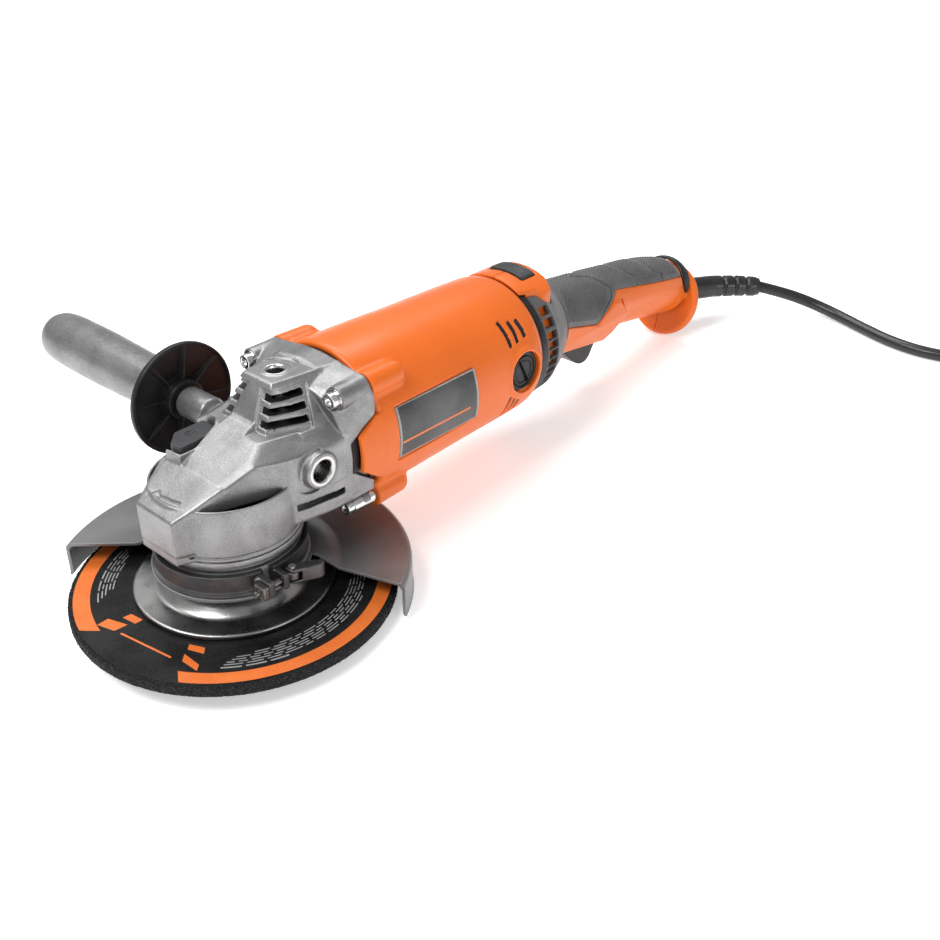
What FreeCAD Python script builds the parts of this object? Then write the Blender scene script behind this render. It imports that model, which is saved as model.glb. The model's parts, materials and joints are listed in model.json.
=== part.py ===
import FreeCAD, Part
import math
import os
import Sketcher
from FreeCAD import Placement, Rotation, Vector

# An angle grinder with a 7 inch wheel, a swivelling rear handle and a side handle.
#
# Tool frame, in millimetres: the origin is on the spindle's axis at the grinding face, +X runs back
# along the motor, +Y points to the side handle and +Z up the spindle.  The motor's axis runs parallel
# to X at the height motor_height.  At the end every piece is leant back by the small angle at which
# the tool rests on its guard and on the flange of its rear handle, with the lowest points at Z = 0.

DOCUMENT = FreeCAD.newDocument("angle_grinder")
SHEET = DOCUMENT.addObject("Spreadsheet::Sheet", "sizes")

X, Y, Z = Vector(1, 0, 0), Vector(0, 1, 0), Vector(0, 0, 1)

# name, value, meaning
SIZES = [
    ("wheel_radius", 88.9, "abrasive wheel, 7 inches across"),
    ("wheel_thickness", 6.35, "abrasive wheel, a quarter of an inch"),
    ("wheel_raise", 4.5, "height of the wheel's depressed centre"),
    ("label_radius", 86.5, "printed paper on the wheel"),
    ("hub_radius", 54.3, "pressed steel hub"),
    ("hub_rim_top", 9.9, "top face of the hub's rim"),
    ("hub_top", 17.6, "top of the hub, against the spindle's collar"),
    ("thread_radius", 7.9, "spindle thread, five eighths of an inch"),
    ("guard_radius", 97.0, "outside of the wheel guard"),
    ("guard_top", 19.0, "top face of the guard's plate"),
    ("guard_skirt", -2.0, "lower edge of the guard's skirt"),
    ("guard_sheet", 2.0, "thickness of the guard's sheet"),
    ("guard_angle", 31.0, "direction of the guard's middle, from +X towards +Y"),
    ("band_low", 24.4, "lower rim of the guard's clamp band"),
    ("band_high", 36.8, "upper rim of the guard's clamp band"),
    ("band_radius", 41.1, "outside of the clamp band"),
    ("neck_radius", 38.3, "cover neck that the band grips"),
    ("cover_low", 40.7, "lower edge of the cover's flange"),
    ("case_low", 44.6, "joint between cover and gear case"),
    ("case_radius", 39.4, "round lower part of the gear case"),
    ("case_lip", 74.5, "top of the round lower part"),
    ("case_wall", 5.4, "wall of the round lower part"),
    ("case_back", 66.0, "rear face of the gear case"),
    ("nose_front", -43.5, "flat front of the gear case"),
    ("tower_top", 119.0, "top face of the gear case"),
    ("motor_height", 75.8, "height of the motor's axis"),
    ("side_x", 32.2, "side handle sockets, along X"),
    ("side_z", 77.7, "side handle sockets, height"),
    ("socket_radius", 6.0, "side handle thread, M12"),
    ("socket_depth", 22.0, "depth of the side handle's threads"),
    ("boss_reach", 42.2, "faces of the side handle bosses, from the middle"),
    ("boss_radius", 9.3, "outside of the side handle bosses"),
    ("screw_spread", 34.0, "gear case screws, sideways and up from the motor's axis"),
    ("housing_front", 72.0, "front of the motor housing"),
    ("housing_back", 212.0, "rear of the motor housing"),
    ("housing_radius", 46.8, "motor housing at its widest"),
    ("housing_inside", 42.8, "inside of the motor housing"),
    ("ring_back", 218.0, "rear of the black swivel ring"),
    ("ring_radius", 40.6, "outside of the swivel ring"),
    ("cap_x", 193.3, "brush caps, along X"),
    ("cap_radius", 12.6, "outside of the brush caps"),
    ("droop", 15.0, "droop of the handle's end flange"),
    ("flange_x", 411.0, "middle of the end flange, along X"),
    ("flange_z", 43.2, "middle of the end flange, height"),
    ("flange_radius", 28.0, "end flange"),
    ("flange_thickness", 6.0, "end flange"),
    ("gear_pitch", 29.0, "large bevel gear, pitch radius"),
    ("gear_teeth", 40, "large bevel gear"),
    ("pinion_teeth", 12, "bevel pinion"),
    ("face_width", 9.3, "length of the gears' teeth"),
    ("addendum", 1.2, "tooth height above the pitch cone"),
    ("dedendum", 1.5, "tooth depth below the pitch cone"),
    ("disc_y", 76.5, "side handle's hand guard, nearer face"),
    ("disc_radius", 33.7, "side handle's hand guard"),
    ("grip_end", 211.0, "end of the side handle"),
    ("cord_diameter", 8.5, "mains lead"),
    ("cord_turns", 7.24, "turns of the put-away lead's coil, in two layers"),
    ("lean", 3.21, "angle at which the tool rests, leant back"),
    ("stand_x", -167.81, "moves the middle of the standing tool to X = 0"),
    ("stand_y", -61.055, "moves the middle of the standing tool to Y = 0"),
    ("stand_z", 7.43, "lifts the standing tool's lowest points to Z = 0"),
]


class Size(float):
    """A length that also knows the spreadsheet formula it comes from."""

    def __new__(cls, value, text):
        made = super().__new__(cls, value)
        made.text = text
        return made

    def __add__(self, other):
        return Size(float(self) + float(other), f"({self.text} + {formula(other)})")

    def __sub__(self, other):
        return Size(float(self) - float(other), f"({self.text} - {formula(other)})")

    def __neg__(self):
        return Size(-float(self), f"(-{self.text})")


def formula(value):
    return value.text if isinstance(value, Size) else repr(float(value))


def fill_sheet():
    sizes = {}
    for row, (name, value, meaning) in enumerate(SIZES, start=1):
        SHEET.set(f"A{row}", name)
        SHEET.set(f"B{row}", str(value))
        SHEET.set(f"C{row}", meaning)
        SHEET.setAlias(f"B{row}", name)
        sizes[name] = Size(value, f"sizes.{name}")
    DOCUMENT.recompute()
    return sizes


S = fill_sheet()

# Frames that turned pieces are drawn in: their own Z axis is the axis of turning.
SPINDLE_FRAME = Placement()
MOTOR_FRAME = Placement(Vector(0, 0, S["motor_height"]), Rotation(Y, 90))
SIDE_FRAME = Placement(Vector(S["side_x"], 0, S["side_z"]), Rotation(X, -90))
GUARD_FRAME = Placement(Vector(), Rotation(Z, S["guard_angle"]))
FLANGE_FRAME = Placement(Vector(S["flange_x"], 0, S["flange_z"]), Rotation(Y, 90 + S["droop"]))

PIECES = []


# ---------------------------------------------------------------- ways of making a piece

def attach(sketch, body, role):
    plane = next(item for item in body.Origin.OriginFeatures if item.Role == role)
    sketch.AttachmentSupport = [(plane, "")]
    sketch.MapMode = "FlatFace"


def pin_point(sketch, line, coordinates):
    """Ties the start of a line to the sheet, measured from the sketch's origin."""
    for kind, value in zip(("DistanceX", "DistanceY"), coordinates):
        if abs(value) < 1e-9:
            axis = -2 if kind == "DistanceX" else -1
            sketch.addConstraint(Sketcher.Constraint("PointOnObject", line, 1, axis))
            continue
        index = sketch.addConstraint(Sketcher.Constraint(kind, -1, 1, line, 1, float(value)))
        if isinstance(value, Size):
            sketch.setExpression(f"Constraints[{index}]", value.text)


def draw(sketch, outline):
    """A closed outline of straight lines, each corner tied to the sheet."""
    corners = [Vector(float(a), float(b), 0) for a, b in outline]
    count = len(corners)
    for index in range(count):
        sketch.addGeometry(Part.LineSegment(corners[index], corners[(index + 1) % count]), False)
    for index in range(count):
        sketch.addConstraint(Sketcher.Constraint("Coincident", index, 2, (index + 1) % count, 1))
    for index, point in enumerate(outline):
        pin_point(sketch, index, point)


def new_body(label, frame):
    body = DOCUMENT.addObject("PartDesign::Body", label)
    body.Label = label
    body.Placement = frame
    PIECES.append(body)
    return body


def turned(label, frame, outline):
    """A body of revolution about the frame's Z axis.  The outline holds (radius, height) corners."""
    body = new_body(label, frame)
    sketch = body.newObject("Sketcher::SketchObject", label + "_profile")
    attach(sketch, body, "XZ_Plane")
    draw(sketch, outline)
    turn = body.newObject("PartDesign::Revolution", label + "_turn")
    turn.Profile = sketch
    turn.ReferenceAxis = (sketch, ["V_Axis"])
    turn.Angle = 360
    sketch.Visibility = False
    return body


def padded(label, frame, outline, low, height):
    """A prism on the frame's XY plane.  The outline holds (x, y) corners."""
    body = new_body(label, frame)
    add_pad(body, label, outline, low, height)
    return body


def add_pad(body, name, outline, low, height):
    sketch = body.newObject("Sketcher::SketchObject", name + "_outline")
    attach(sketch, body, "XY_Plane")
    sketch.AttachmentOffset = Placement(Vector(0, 0, float(low)), Rotation())
    if isinstance(low, Size):
        sketch.setExpression("AttachmentOffset.Base.z", low.text)
    draw(sketch, outline)
    pad = body.newObject("PartDesign::Pad", name + "_pad")
    pad.Profile = sketch
    pad.Length = float(height)
    if isinstance(height, Size):
        pad.setExpression("Length", height.text)
    return pad


def around(body, feature, count):
    """Repeats a feature of a body around the frame's Z axis."""
    pattern = body.newObject("PartDesign::PolarPattern", feature.Name + "_around")
    axis = next(item for item in body.Origin.OriginFeatures if item.Role == "Z_Axis")
    pattern.Axis = (axis, [""])
    pattern.Angle = 360
    pattern.Occurrences = count
    pattern.Originals = [feature]
    body.Tip = pattern
    return pattern


def free_form(label, shape, frame=Placement()):
    """A piece whose shape neither a turned nor a padded body fits."""
    piece = DOCUMENT.addObject("Part::Feature", label)
    piece.Label = label
    piece.Shape = shape
    piece.Placement = frame
    PIECES.append(piece)
    return piece


def cylinder(radius, start, end):
    start, end = Vector(*start), Vector(*end)
    return Part.makeCylinder(radius, (end - start).Length, start, end - start)


def box(low, high):
    low, high = Vector(*low), Vector(*high)
    size = high - low
    return Part.makeBox(size.x, size.y, size.z, low)


def prism(corners, direction):
    corners = [Vector(*corner) for corner in corners]
    return Part.Face(Part.makePolygon(corners + corners[:1])).extrude(Vector(*direction))


def side_prism(corners, half_width, middle=0.0):
    """A prism across the tool from (x, z) corners."""
    return prism([(a, middle - half_width, b) for a, b in corners], (0, 2 * half_width, 0))


def ring_loft(sections, extra=0.0):
    """A tube-like solid through circles across the tool, each given as (x, height, radius)."""
    wires = []
    for along, height, radius in sections:
        circle = Part.makeCircle(radius + extra, Vector(along, 0, height), X)
        wires.append(Part.Wire(circle))
    return Part.makeLoft(wires, True, True)


def joined(shapes):
    return shapes[0].multiFuse(shapes[1:]).removeSplitter()


def without(solid, tools):
    for tool in tools:
        solid = solid.cut(tool)
    return solid


def four_corners():
    spread, height = S["screw_spread"], S["motor_height"]
    return [(side * spread, height + level * spread) for side in (-1, 1) for level in (-1, 1)]


# ---------------------------------------------------------------- wheel and spindle

def make_wheel():
    thick, raise_ = S["wheel_thickness"], S["wheel_raise"]
    turned("abrasive_wheel", SPINDLE_FRAME, [
        (38, 0), (S["wheel_radius"], 0), (S["wheel_radius"], thick), (39, thick),
        (34, thick + raise_), (15.3, thick + raise_), (15.3, raise_), (33, raise_)])
    turned("wheel_label", SPINDLE_FRAME, [
        (50, thick + 0.02), (S["label_radius"], thick + 0.02),
        (S["label_radius"], thick + 0.32), (50, thick + 0.32)])
    rim, rim_top, top = S["hub_radius"], S["hub_rim_top"], S["hub_top"]
    turned("wheel_hub", SPINDLE_FRAME, [
        (rim, rim_top - 3), (rim, rim_top), (42, rim_top), (38.5, rim_top + 1.7),
        (34.5, top - 2.1), (31, top - 0.2), (S["thread_radius"] + 0.05, top),
        (S["thread_radius"] + 0.05, 2), (15, 2), (15, top - 2.4), (30, top - 2.6),
        (32.5, top - 4), (36.5, rim_top - 0.3), (40, rim_top - 2.5), (42, rim_top - 3)])


def make_spindle():
    thread, top = S["thread_radius"], S["hub_top"]
    turned("spindle", SPINDLE_FRAME, [
        (0, 1.5), (thread - 1, 1.5), (thread, 2.5), (thread, top + 0.1), (15, top + 0.1),
        (15, 21.5), (8.48, 21.5), (8.48, 56), (8, 56), (8, 66.8), (6, 66.8), (6, 76.4),
        (3.98, 76.4), (3.98, 84), (3.4, 84.6), (0, 84.6)])
    turned("lower_bearing", SPINDLE_FRAME, [(8.52, 36), (19.98, 36), (19.98, 48), (8.52, 48)])
    turned("upper_bearing", SPINDLE_FRAME, [(4.02, 77), (10.98, 77), (10.98, 84), (4.02, 84)])
    turned("spindle_seal", SPINDLE_FRAME, [(8.55, 26), (11.95, 26), (11.95, 32), (8.55, 32)])


# ---------------------------------------------------------------- bevel gears

def cone_tooth(apex, along, up, reach, near, far_width_low, far_width_high, low, high):
    """One straight bevel tooth, a wedge that narrows to the cones' common apex.

    along runs from the apex down the pitch cone, up stands square on it, reach is the cone's length
    at the large end and near the fraction of it at which the tooth ends."""
    across = along.cross(up)
    foot = apex + along * reach
    large = [foot + up * low - across * far_width_low, foot + up * low + across * far_width_low,
             foot + up * high + across * far_width_high, foot + up * high - across * far_width_high]
    small = [apex + (corner - apex) * near for corner in large]
    wires = [Part.makePolygon(ring + ring[:1]) for ring in (large, small)]
    return Part.makeLoft(wires, True, True)


def tooth_sizes():
    reach = math.hypot(S["gear_pitch"], pinion_pitch())
    pitch = 2 * math.pi * S["gear_pitch"] / S["gear_teeth"]
    half, slope, sunk = 0.2 * pitch, math.tan(math.radians(20)), 0.25
    low, high = -(S["dedendum"] + sunk), S["addendum"]
    return reach, 1 - S["face_width"] / reach, half - low * slope, half - high * slope, low, high


def pinion_pitch():
    return S["gear_pitch"] * S["pinion_teeth"] / S["gear_teeth"]


def make_gears():
    apex = Vector(0, 0, S["motor_height"])
    reach, near, wide, narrow, low, high = tooth_sizes()
    dip = math.atan2(pinion_pitch(), S["gear_pitch"])

    def cone_point(distance, rise):
        """(radius, height) of a point on the large gear's cone."""
        return (distance * math.cos(dip) + rise * math.sin(dip),
                apex.z - distance * math.sin(dip) + rise * math.cos(dip))

    outer, inner = cone_point(reach, -S["dedendum"]), cone_point(reach * near, -S["dedendum"] * near)
    profile = [(8.02, 57), (14, 57), (14, 60.5), (26.5, 60.5), outer, inner, (19, 66.8), (8.02, 66.8)]
    blank = Part.Face(Part.makePolygon([Vector(a, 0, b) for a, b in profile + profile[:1]]))
    blank = blank.revolve(Vector(), Z, 360)
    along = Vector(math.cos(dip), 0, -math.sin(dip))
    up = Vector(math.sin(dip), 0, math.cos(dip))
    tooth = cone_tooth(apex, along, up, reach, near, wide, narrow, low, high)
    teeth = []
    for index in range(int(S["gear_teeth"])):
        copy = tooth.copy()
        copy.rotate(apex, Z, index * 360 / S["gear_teeth"])
        teeth.append(copy)
    gear = blank.multiFuse(teeth)
    holes = [cylinder(3.0, (LOCK_REACH * math.cos(turn), LOCK_REACH * math.sin(turn), 61.5),
                      (LOCK_REACH * math.cos(turn), LOCK_REACH * math.sin(turn), 70))
             for turn in (0, math.pi / 2, math.pi, 3 * math.pi / 2)]
    free_form("spindle_gear", gear.cut(holes))

    root = reach * math.sin(dip) - S["dedendum"] * math.cos(dip)
    back = reach * math.cos(dip) + S["dedendum"] * math.sin(dip)
    blank = Part.makeCone(root * near, root, back * (1 - near), Vector(back * near, 0, apex.z), X)
    collar = cylinder(6.4, (back, 0, apex.z), (back + 4, 0, apex.z))
    along = Vector(math.cos(dip), 0, -math.sin(dip))
    up = Vector(-math.sin(dip), 0, -math.cos(dip))
    tooth = cone_tooth(apex, along, up, reach, near, wide, narrow, low, high)
    teeth = []
    for index in range(int(S["pinion_teeth"])):
        copy = tooth.copy()
        copy.rotate(apex, X, (index + 0.5) * 360 / S["pinion_teeth"])
        teeth.append(copy)
    pinion = joined([blank, collar]).multiFuse(teeth)
    bore = cylinder(3.52, (0, 0, apex.z), (50, 0, apex.z))
    free_form("pinion_gear", pinion.cut(bore))


LOCK_REACH = 16.2        # distance of the spindle lock's pin from the spindle's axis


# ---------------------------------------------------------------- gear case

def screw_front(height):
    """Where a case screw's head rests: the lower screws sit further back, on spacer lugs."""
    return 50.0 if height > S["motor_height"] else 55.9


def lug_radius(height):
    return 6.5 if height > S["motor_height"] else 4.9


def lug_back(height):
    return S["case_back"] if height > S["motor_height"] else 71.4


def side_notch(gap=0.0):
    """The notches at the back of the gear case's sides, as one solid across the tool."""
    return side_prism([(52.6 + gap, 67.4 + gap / 3), (66.2, 58 + gap), (80, 58 + gap),
                       (80, 94 - gap), (66.2, 94 - gap), (52.6 + gap, 85 - gap / 3)], 60)


def case_outside():
    lip, low, radius = S["case_lip"], S["case_low"], S["case_radius"]
    nose, back, top = S["nose_front"], S["case_back"], S["tower_top"]
    skirt = cylinder(radius, (0, 0, low), (0, 0, lip))
    nose_plan = [(nose, -14.5), (nose, 14.5), (-35.5, 17), (-20, 24), (-20, -24), (-35.5, -17)]
    nose_block = prism([(a, b, low) for a, b in nose_plan], (0, 0, 60))
    body_plan = [(nose, -14.5), (nose, 14.5), (-35.5, 18.5), (10, 34), (40, 40), (back, 41),
                 (back, -41), (40, -40), (10, -34), (-35.5, -18.5)]
    body = prism([(a, b, 60) for a, b in body_plan], (0, 0, 60))
    roof = side_prism([(nose - 1, 40), (nose - 1, 69.5), (nose, 70), (12, 98), (back, 98),
                       (back, 40)], 60)
    wings = prism([(0, -50, 58), (0, -43, 74), (0, -31, 90), (0, -18, 99), (0, 18, 99), (0, 31, 90),
                   (0, 43, 74), (0, 50, 58), (0, 50, 40), (0, -50, 40)], (back, 0, 0))
    front_wings = Part.makeLoft([
        Part.makePolygon([Vector(nose - 1, b, c) for b, c in
                          [(-15, 40), (-15, 66), (-9, 72), (9, 72), (15, 66), (15, 40), (-15, 40)]]),
        Part.makePolygon([Vector(2, b, c) for b, c in
                          [(-42, 40), (-42, 76), (-19, 99), (19, 99), (42, 76), (42, 40), (-42, 40)]]),
    ], True, True)
    body = body.common(roof).common(joined([wings, front_wings]))
    tower_low = [(12, -20), (12, 20), (40, 33), (back, 38), (back, -38), (40, -33)]
    tower_high = [(28, -12), (28, 12), (48, 15), (back, 18), (back, -18), (48, -15)]
    tower = Part.makeLoft([
        Part.makePolygon([Vector(a, b, 93) for a, b in tower_low + tower_low[:1]]),
        Part.makePolygon([Vector(a, b, top) for a, b in tower_high + tower_high[:1]])], True, True)
    flank = side_prism([(14, 50), (back - 2, 57), (back - 2, 80), (14, 80)], 40)
    plate = cylinder(43.5, (56, 0, S["motor_height"]), (back, 0, S["motor_height"]))
    drum = cylinder(36, (30, 0, S["motor_height"]), (56, 0, S["motor_height"]))
    drum = drum.common(box((0, -60, low + 1), (back, 60, 130)))
    bosses = cylinder(S["boss_radius"], (S["side_x"], -S["boss_reach"], S["side_z"]),
                      (S["side_x"], S["boss_reach"], S["side_z"]))
    lugs = [cylinder(lug_radius(height), (screw_front(height), across, height),
                     (lug_back(height), across, height)) for across, height in four_corners()]
    return joined([skirt, nose_block.common(roof), body, tower, flank, plate, drum, bosses] + lugs)


def case_inside():
    low, radius, wall = S["case_low"], S["case_radius"], S["case_wall"]
    axis = S["motor_height"]
    room = cylinder(radius - wall, (0, 0, low - 1), (0, 0, 70.6))
    neck = Part.makeCone(24, 14, 9, Vector(0, 0, 70.6), Z)
    passage = cylinder(12.5, (8, 0, axis), (41, 0, axis))
    seat = cylinder(16, (38, 0, axis), (52, 0, axis))
    fan_room = cylinder(38, (53.5, 0, axis), (S["case_back"] + 1, 0, axis))
    attic = Part.makeLoft([
        Part.makePolygon([Vector(a, b, 100) for a, b in
                          [(24, -16), (24, 16), (70, 24), (70, -24), (24, -16)]]),
        Part.makePolygon([Vector(a, b, 114) for a, b in
                          [(32, -9), (32, 9), (70, 13), (70, -13), (32, -9)]])], True, True)
    return [room, neck, passage, seat, fan_room, attic]


def vent_slots():
    """Three slots low on each side of the tower, above one another."""
    slots = []
    for level in range(3):
        height = 98.4 + 5.8 * level
        for side in (-1, 1):
            slots.append(box((25, min(side * 8, side * 40), height),
                             (41.5, max(side * 8, side * 40), height + 3.3)))
    return slots


def make_gear_case():
    depth, radius, axis = S["socket_depth"], S["socket_radius"], S["motor_height"]
    x, z, reach = S["side_x"], S["side_z"], S["boss_reach"]
    shell = case_outside().cut(case_inside())
    bearing_boss = cylinder(14, (0, 0, 76.5), (0, 0, 86)).cut(cylinder(11, (0, 0, 70), (0, 0, 84.02)))
    bearing_boss = bearing_boss.cut(box((14.5, -20, 60), (30, 20, 90)))
    pin_boss = cylinder(5.2, (0, LOCK_REACH, 73), (0, LOCK_REACH, 86))
    cover_bosses = [cylinder(5.3, (a, b, 49.1), (a, b, 57.5)) for a, b in cover_screw_places()]
    near_block = cylinder(radius + 3, (x, -reach, z), (x, -15, z))
    far_block = cylinder(radius + 3, (x, 15, z), (x, reach, z))
    top_block = cylinder(radius + 3, (TOP_SOCKET_X, 0, 96), (TOP_SOCKET_X, 0, S["tower_top"]))
    shell = joined([shell, bearing_boss, pin_boss, near_block, far_block, top_block] + cover_bosses)
    cuts = [
        cylinder(radius, (x, -reach - 1, z), (x, -reach + depth, z)),
        cylinder(radius, (x, reach + 1, z), (x, reach - depth, z)),
        cylinder(TOP_SOCKET_RADIUS, (TOP_SOCKET_X, 0, S["tower_top"] - depth),
                 (TOP_SOCKET_X, 0, S["tower_top"] + 1)),
        side_notch().common(box((50, -60, 40), (68, -38.4, 120))),
        side_notch().common(box((50, 38.4, 40), (68, 60, 120))),
        cylinder(2.66, (0, LOCK_REACH, 60), (0, LOCK_REACH, 100)),
        cylinder(5.0, (0, LOCK_REACH, 79.5), (0, LOCK_REACH, 100)),
        box((-15, 11.5, 82), (11, 40, 120)),
        cylinder(12.5, (8, 0, axis), (41, 0, axis)),
        cylinder(16, (38, 0, axis), (52, 0, axis)),
        cylinder(8, (50, 0, axis), (56, 0, axis)),
        cylinder(11, (0, 0, 70), (0, 0, 84.02)),
        cylinder(5, (0, 0, 80), (0, 0, 85.6)),
    ]
    cuts += [cylinder(2.3, (40, a, b), (73, a, b)) for a, b in four_corners()]
    cuts += [cylinder(2.3, (a, b, 45), (a, b, 56)) for a, b in cover_screw_places()]
    free_form("gear_case", shell.cut(cuts + vent_slots()).removeSplitter())


COVER_SCREW_REACH = 29.5 # distance of the cover's screws from the spindle's axis
TOP_SOCKET_X = 40.0      # threaded socket in the top of the gear case
TOP_SOCKET_RADIUS = 4.8


def cover_screw_places():
    turns = [math.radians(45 + 90 * index) for index in range(4)]
    return [(COVER_SCREW_REACH * math.cos(turn), COVER_SCREW_REACH * math.sin(turn)) for turn in turns]


def make_cover():
    neck, low, joint = S["neck_radius"], S["cover_low"], S["case_low"]
    profile = [(12, 22), (neck, 22), (neck, 37.2), (35.5, 37.2), (35.5, low), (S["case_radius"], low),
               (S["case_radius"], joint - 0.1), (33.8, joint - 0.1), (33.8, 49), (20, 49), (20, 36),
               (12, 36)]
    blank = Part.Face(Part.makePolygon([Vector(a, 0, b) for a, b in profile + profile[:1]]))
    blank = blank.revolve(Vector(), Z, 360)
    holes, screws = [], []
    for a, b in cover_screw_places():
        holes += [cylinder(2.6, (a, b, 20), (a, b, 50)), cylinder(4.6, (a, b, 20), (a, b, 27))]
        socket = cylinder(1.8, (a, b, 22), (a, b, 24.5))
        screw = cylinder(4.2, (a, b, 22.4), (a, b, 27)).fuse(cylinder(2.25, (a, b, 27), (a, b, 55)))
        screws.append(screw.cut(socket).removeSplitter())
    free_form("bearing_cover", blank.cut(holes))
    free_form("cover_screws", Part.makeCompound(screws))


def make_spindle_lock():
    plan = [(-14.5, 12.8), (-13.5, 11.8), (6, 11.8), (10.5, 15.5), (10.5, 27), (-8, 27), (-14.5, 20)]
    knob = prism([(a, b, 86.5) for a, b in plan], (0, 0, 4.5))
    free_form("spindle_lock_button", knob)
    free_form("spindle_lock_pin", cylinder(2.6, (0, LOCK_REACH, 68.8), (0, LOCK_REACH, 86.5)))
    spring = cylinder(4.6, (0, LOCK_REACH, 79.6), (0, LOCK_REACH, 82.2))
    spring = spring.cut(cylinder(3.4, (0, LOCK_REACH, 79), (0, LOCK_REACH, 90)))
    free_form("spindle_lock_spring", spring)


# ---------------------------------------------------------------- guard and its clamp

def make_guard():
    radius, top, skirt, sheet = S["guard_radius"], S["guard_top"], S["guard_skirt"], S["guard_sheet"]
    profile = [(radius - 3, top), (radius, top - 3), (radius, skirt), (radius - sheet, skirt),
               (radius - sheet, top - 4), (radius - 4, top - sheet), (58, top - sheet),
               (46, 24.2 - sheet), (41.4, 24.2 - sheet), (41.4, 24.2), (46.5, 24.2), (58.5, top)]
    shell = Part.Face(Part.makePolygon([Vector(a, 0, b) for a, b in profile + profile[:1]]))
    shell = shell.revolve(Vector(), Z, 360)
    open_front = prism([(-4.4, 96.9, -20), (5.5, 53, -20), (5.5, -53, -20), (-4.4, -96.9, -20),
                        (-4.4, -120, -20), (-120, -120, -20), (-120, 120, -20), (-4.4, 120, -20)],
                       (0, 0, 60))
    collar = cylinder(43, (0, 0, 22.2), (0, 0, 24.2)).cut(cylinder(38.7, (0, 0, 20), (0, 0, 30)))
    shell = joined([shell.cut(open_front), collar])
    free_form("guard_shell", shell, GUARD_FRAME)


LEVER_PIVOT = (3.5, -46.2)       # lever's pin, seen from above
CLAMP_HEIGHT = 30.6              # height of the clamp's screw


def make_clamp():
    low, high, radius = S["band_low"], S["band_high"], S["band_radius"]
    band = cylinder(radius, (0, 0, low), (0, 0, high)).cut(cylinder(38.7, (0, 0, 0), (0, 0, 60)))
    gap = box((-10, -60, 0), (-5, -30, 60))
    ears = [box((-15, -50, 26), (-10, -39.6, 35.4)), box((-5, -50, 26), (-1.2, -39.6, 35.4))]
    hole = cylinder(2.5, (-30, LEVER_PIVOT[1], CLAMP_HEIGHT), (10, LEVER_PIVOT[1], CLAMP_HEIGHT))
    free_form("guard_clamp_band", joined([band.cut(gap)] + ears).cut(hole))
    rod = cylinder(2.2, (-20, LEVER_PIVOT[1], CLAMP_HEIGHT), (0.9, LEVER_PIVOT[1], CLAMP_HEIGHT))
    nut = cylinder(4.4, (-19, LEVER_PIVOT[1], CLAMP_HEIGHT), (-15, LEVER_PIVOT[1], CLAMP_HEIGHT))
    eye = cylinder(3.6, LEVER_PIVOT + (CLAMP_HEIGHT - 2.2,), LEVER_PIVOT + (CLAMP_HEIGHT + 2.2,))
    screw = rod.fuse(nut).fuse(eye)
    free_form("clamp_screw", screw.cut(cylinder(2.05, LEVER_PIVOT + (20,), LEVER_PIVOT + (40,))))
    free_form("clamp_pin", cylinder(2.0, LEVER_PIVOT + (25.6,), LEVER_PIVOT + (35.6,)))
    x, y = LEVER_PIVOT
    plan = [(x - 3.4, y + 2.6), (x + 2.9, y + 3.1), (x + 13, y - 3.4), (x + 15.4, y - 6),
            (x + 14.6, y - 9), (x + 11, y - 9.6), (x + 2, y - 5.0), (x - 3.0, y - 3.2)]
    lever = prism([(a, b, 26.2) for a, b in plan], (0, 0, 8.8))
    fork = cylinder(5.4, (x, y, CLAMP_HEIGHT - 2.6), (x, y, CLAMP_HEIGHT + 2.6))
    window = box((x - 12, y - 12, CLAMP_HEIGHT - 2.6), (x + 0.5, y + 12, CLAMP_HEIGHT + 2.6))
    pin_hole = cylinder(2.05, (x, y, 20), (x, y, 40))
    free_form("clamp_lever", lever.cut([fork, window, pin_hole]))


# ---------------------------------------------------------------- motor

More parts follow.
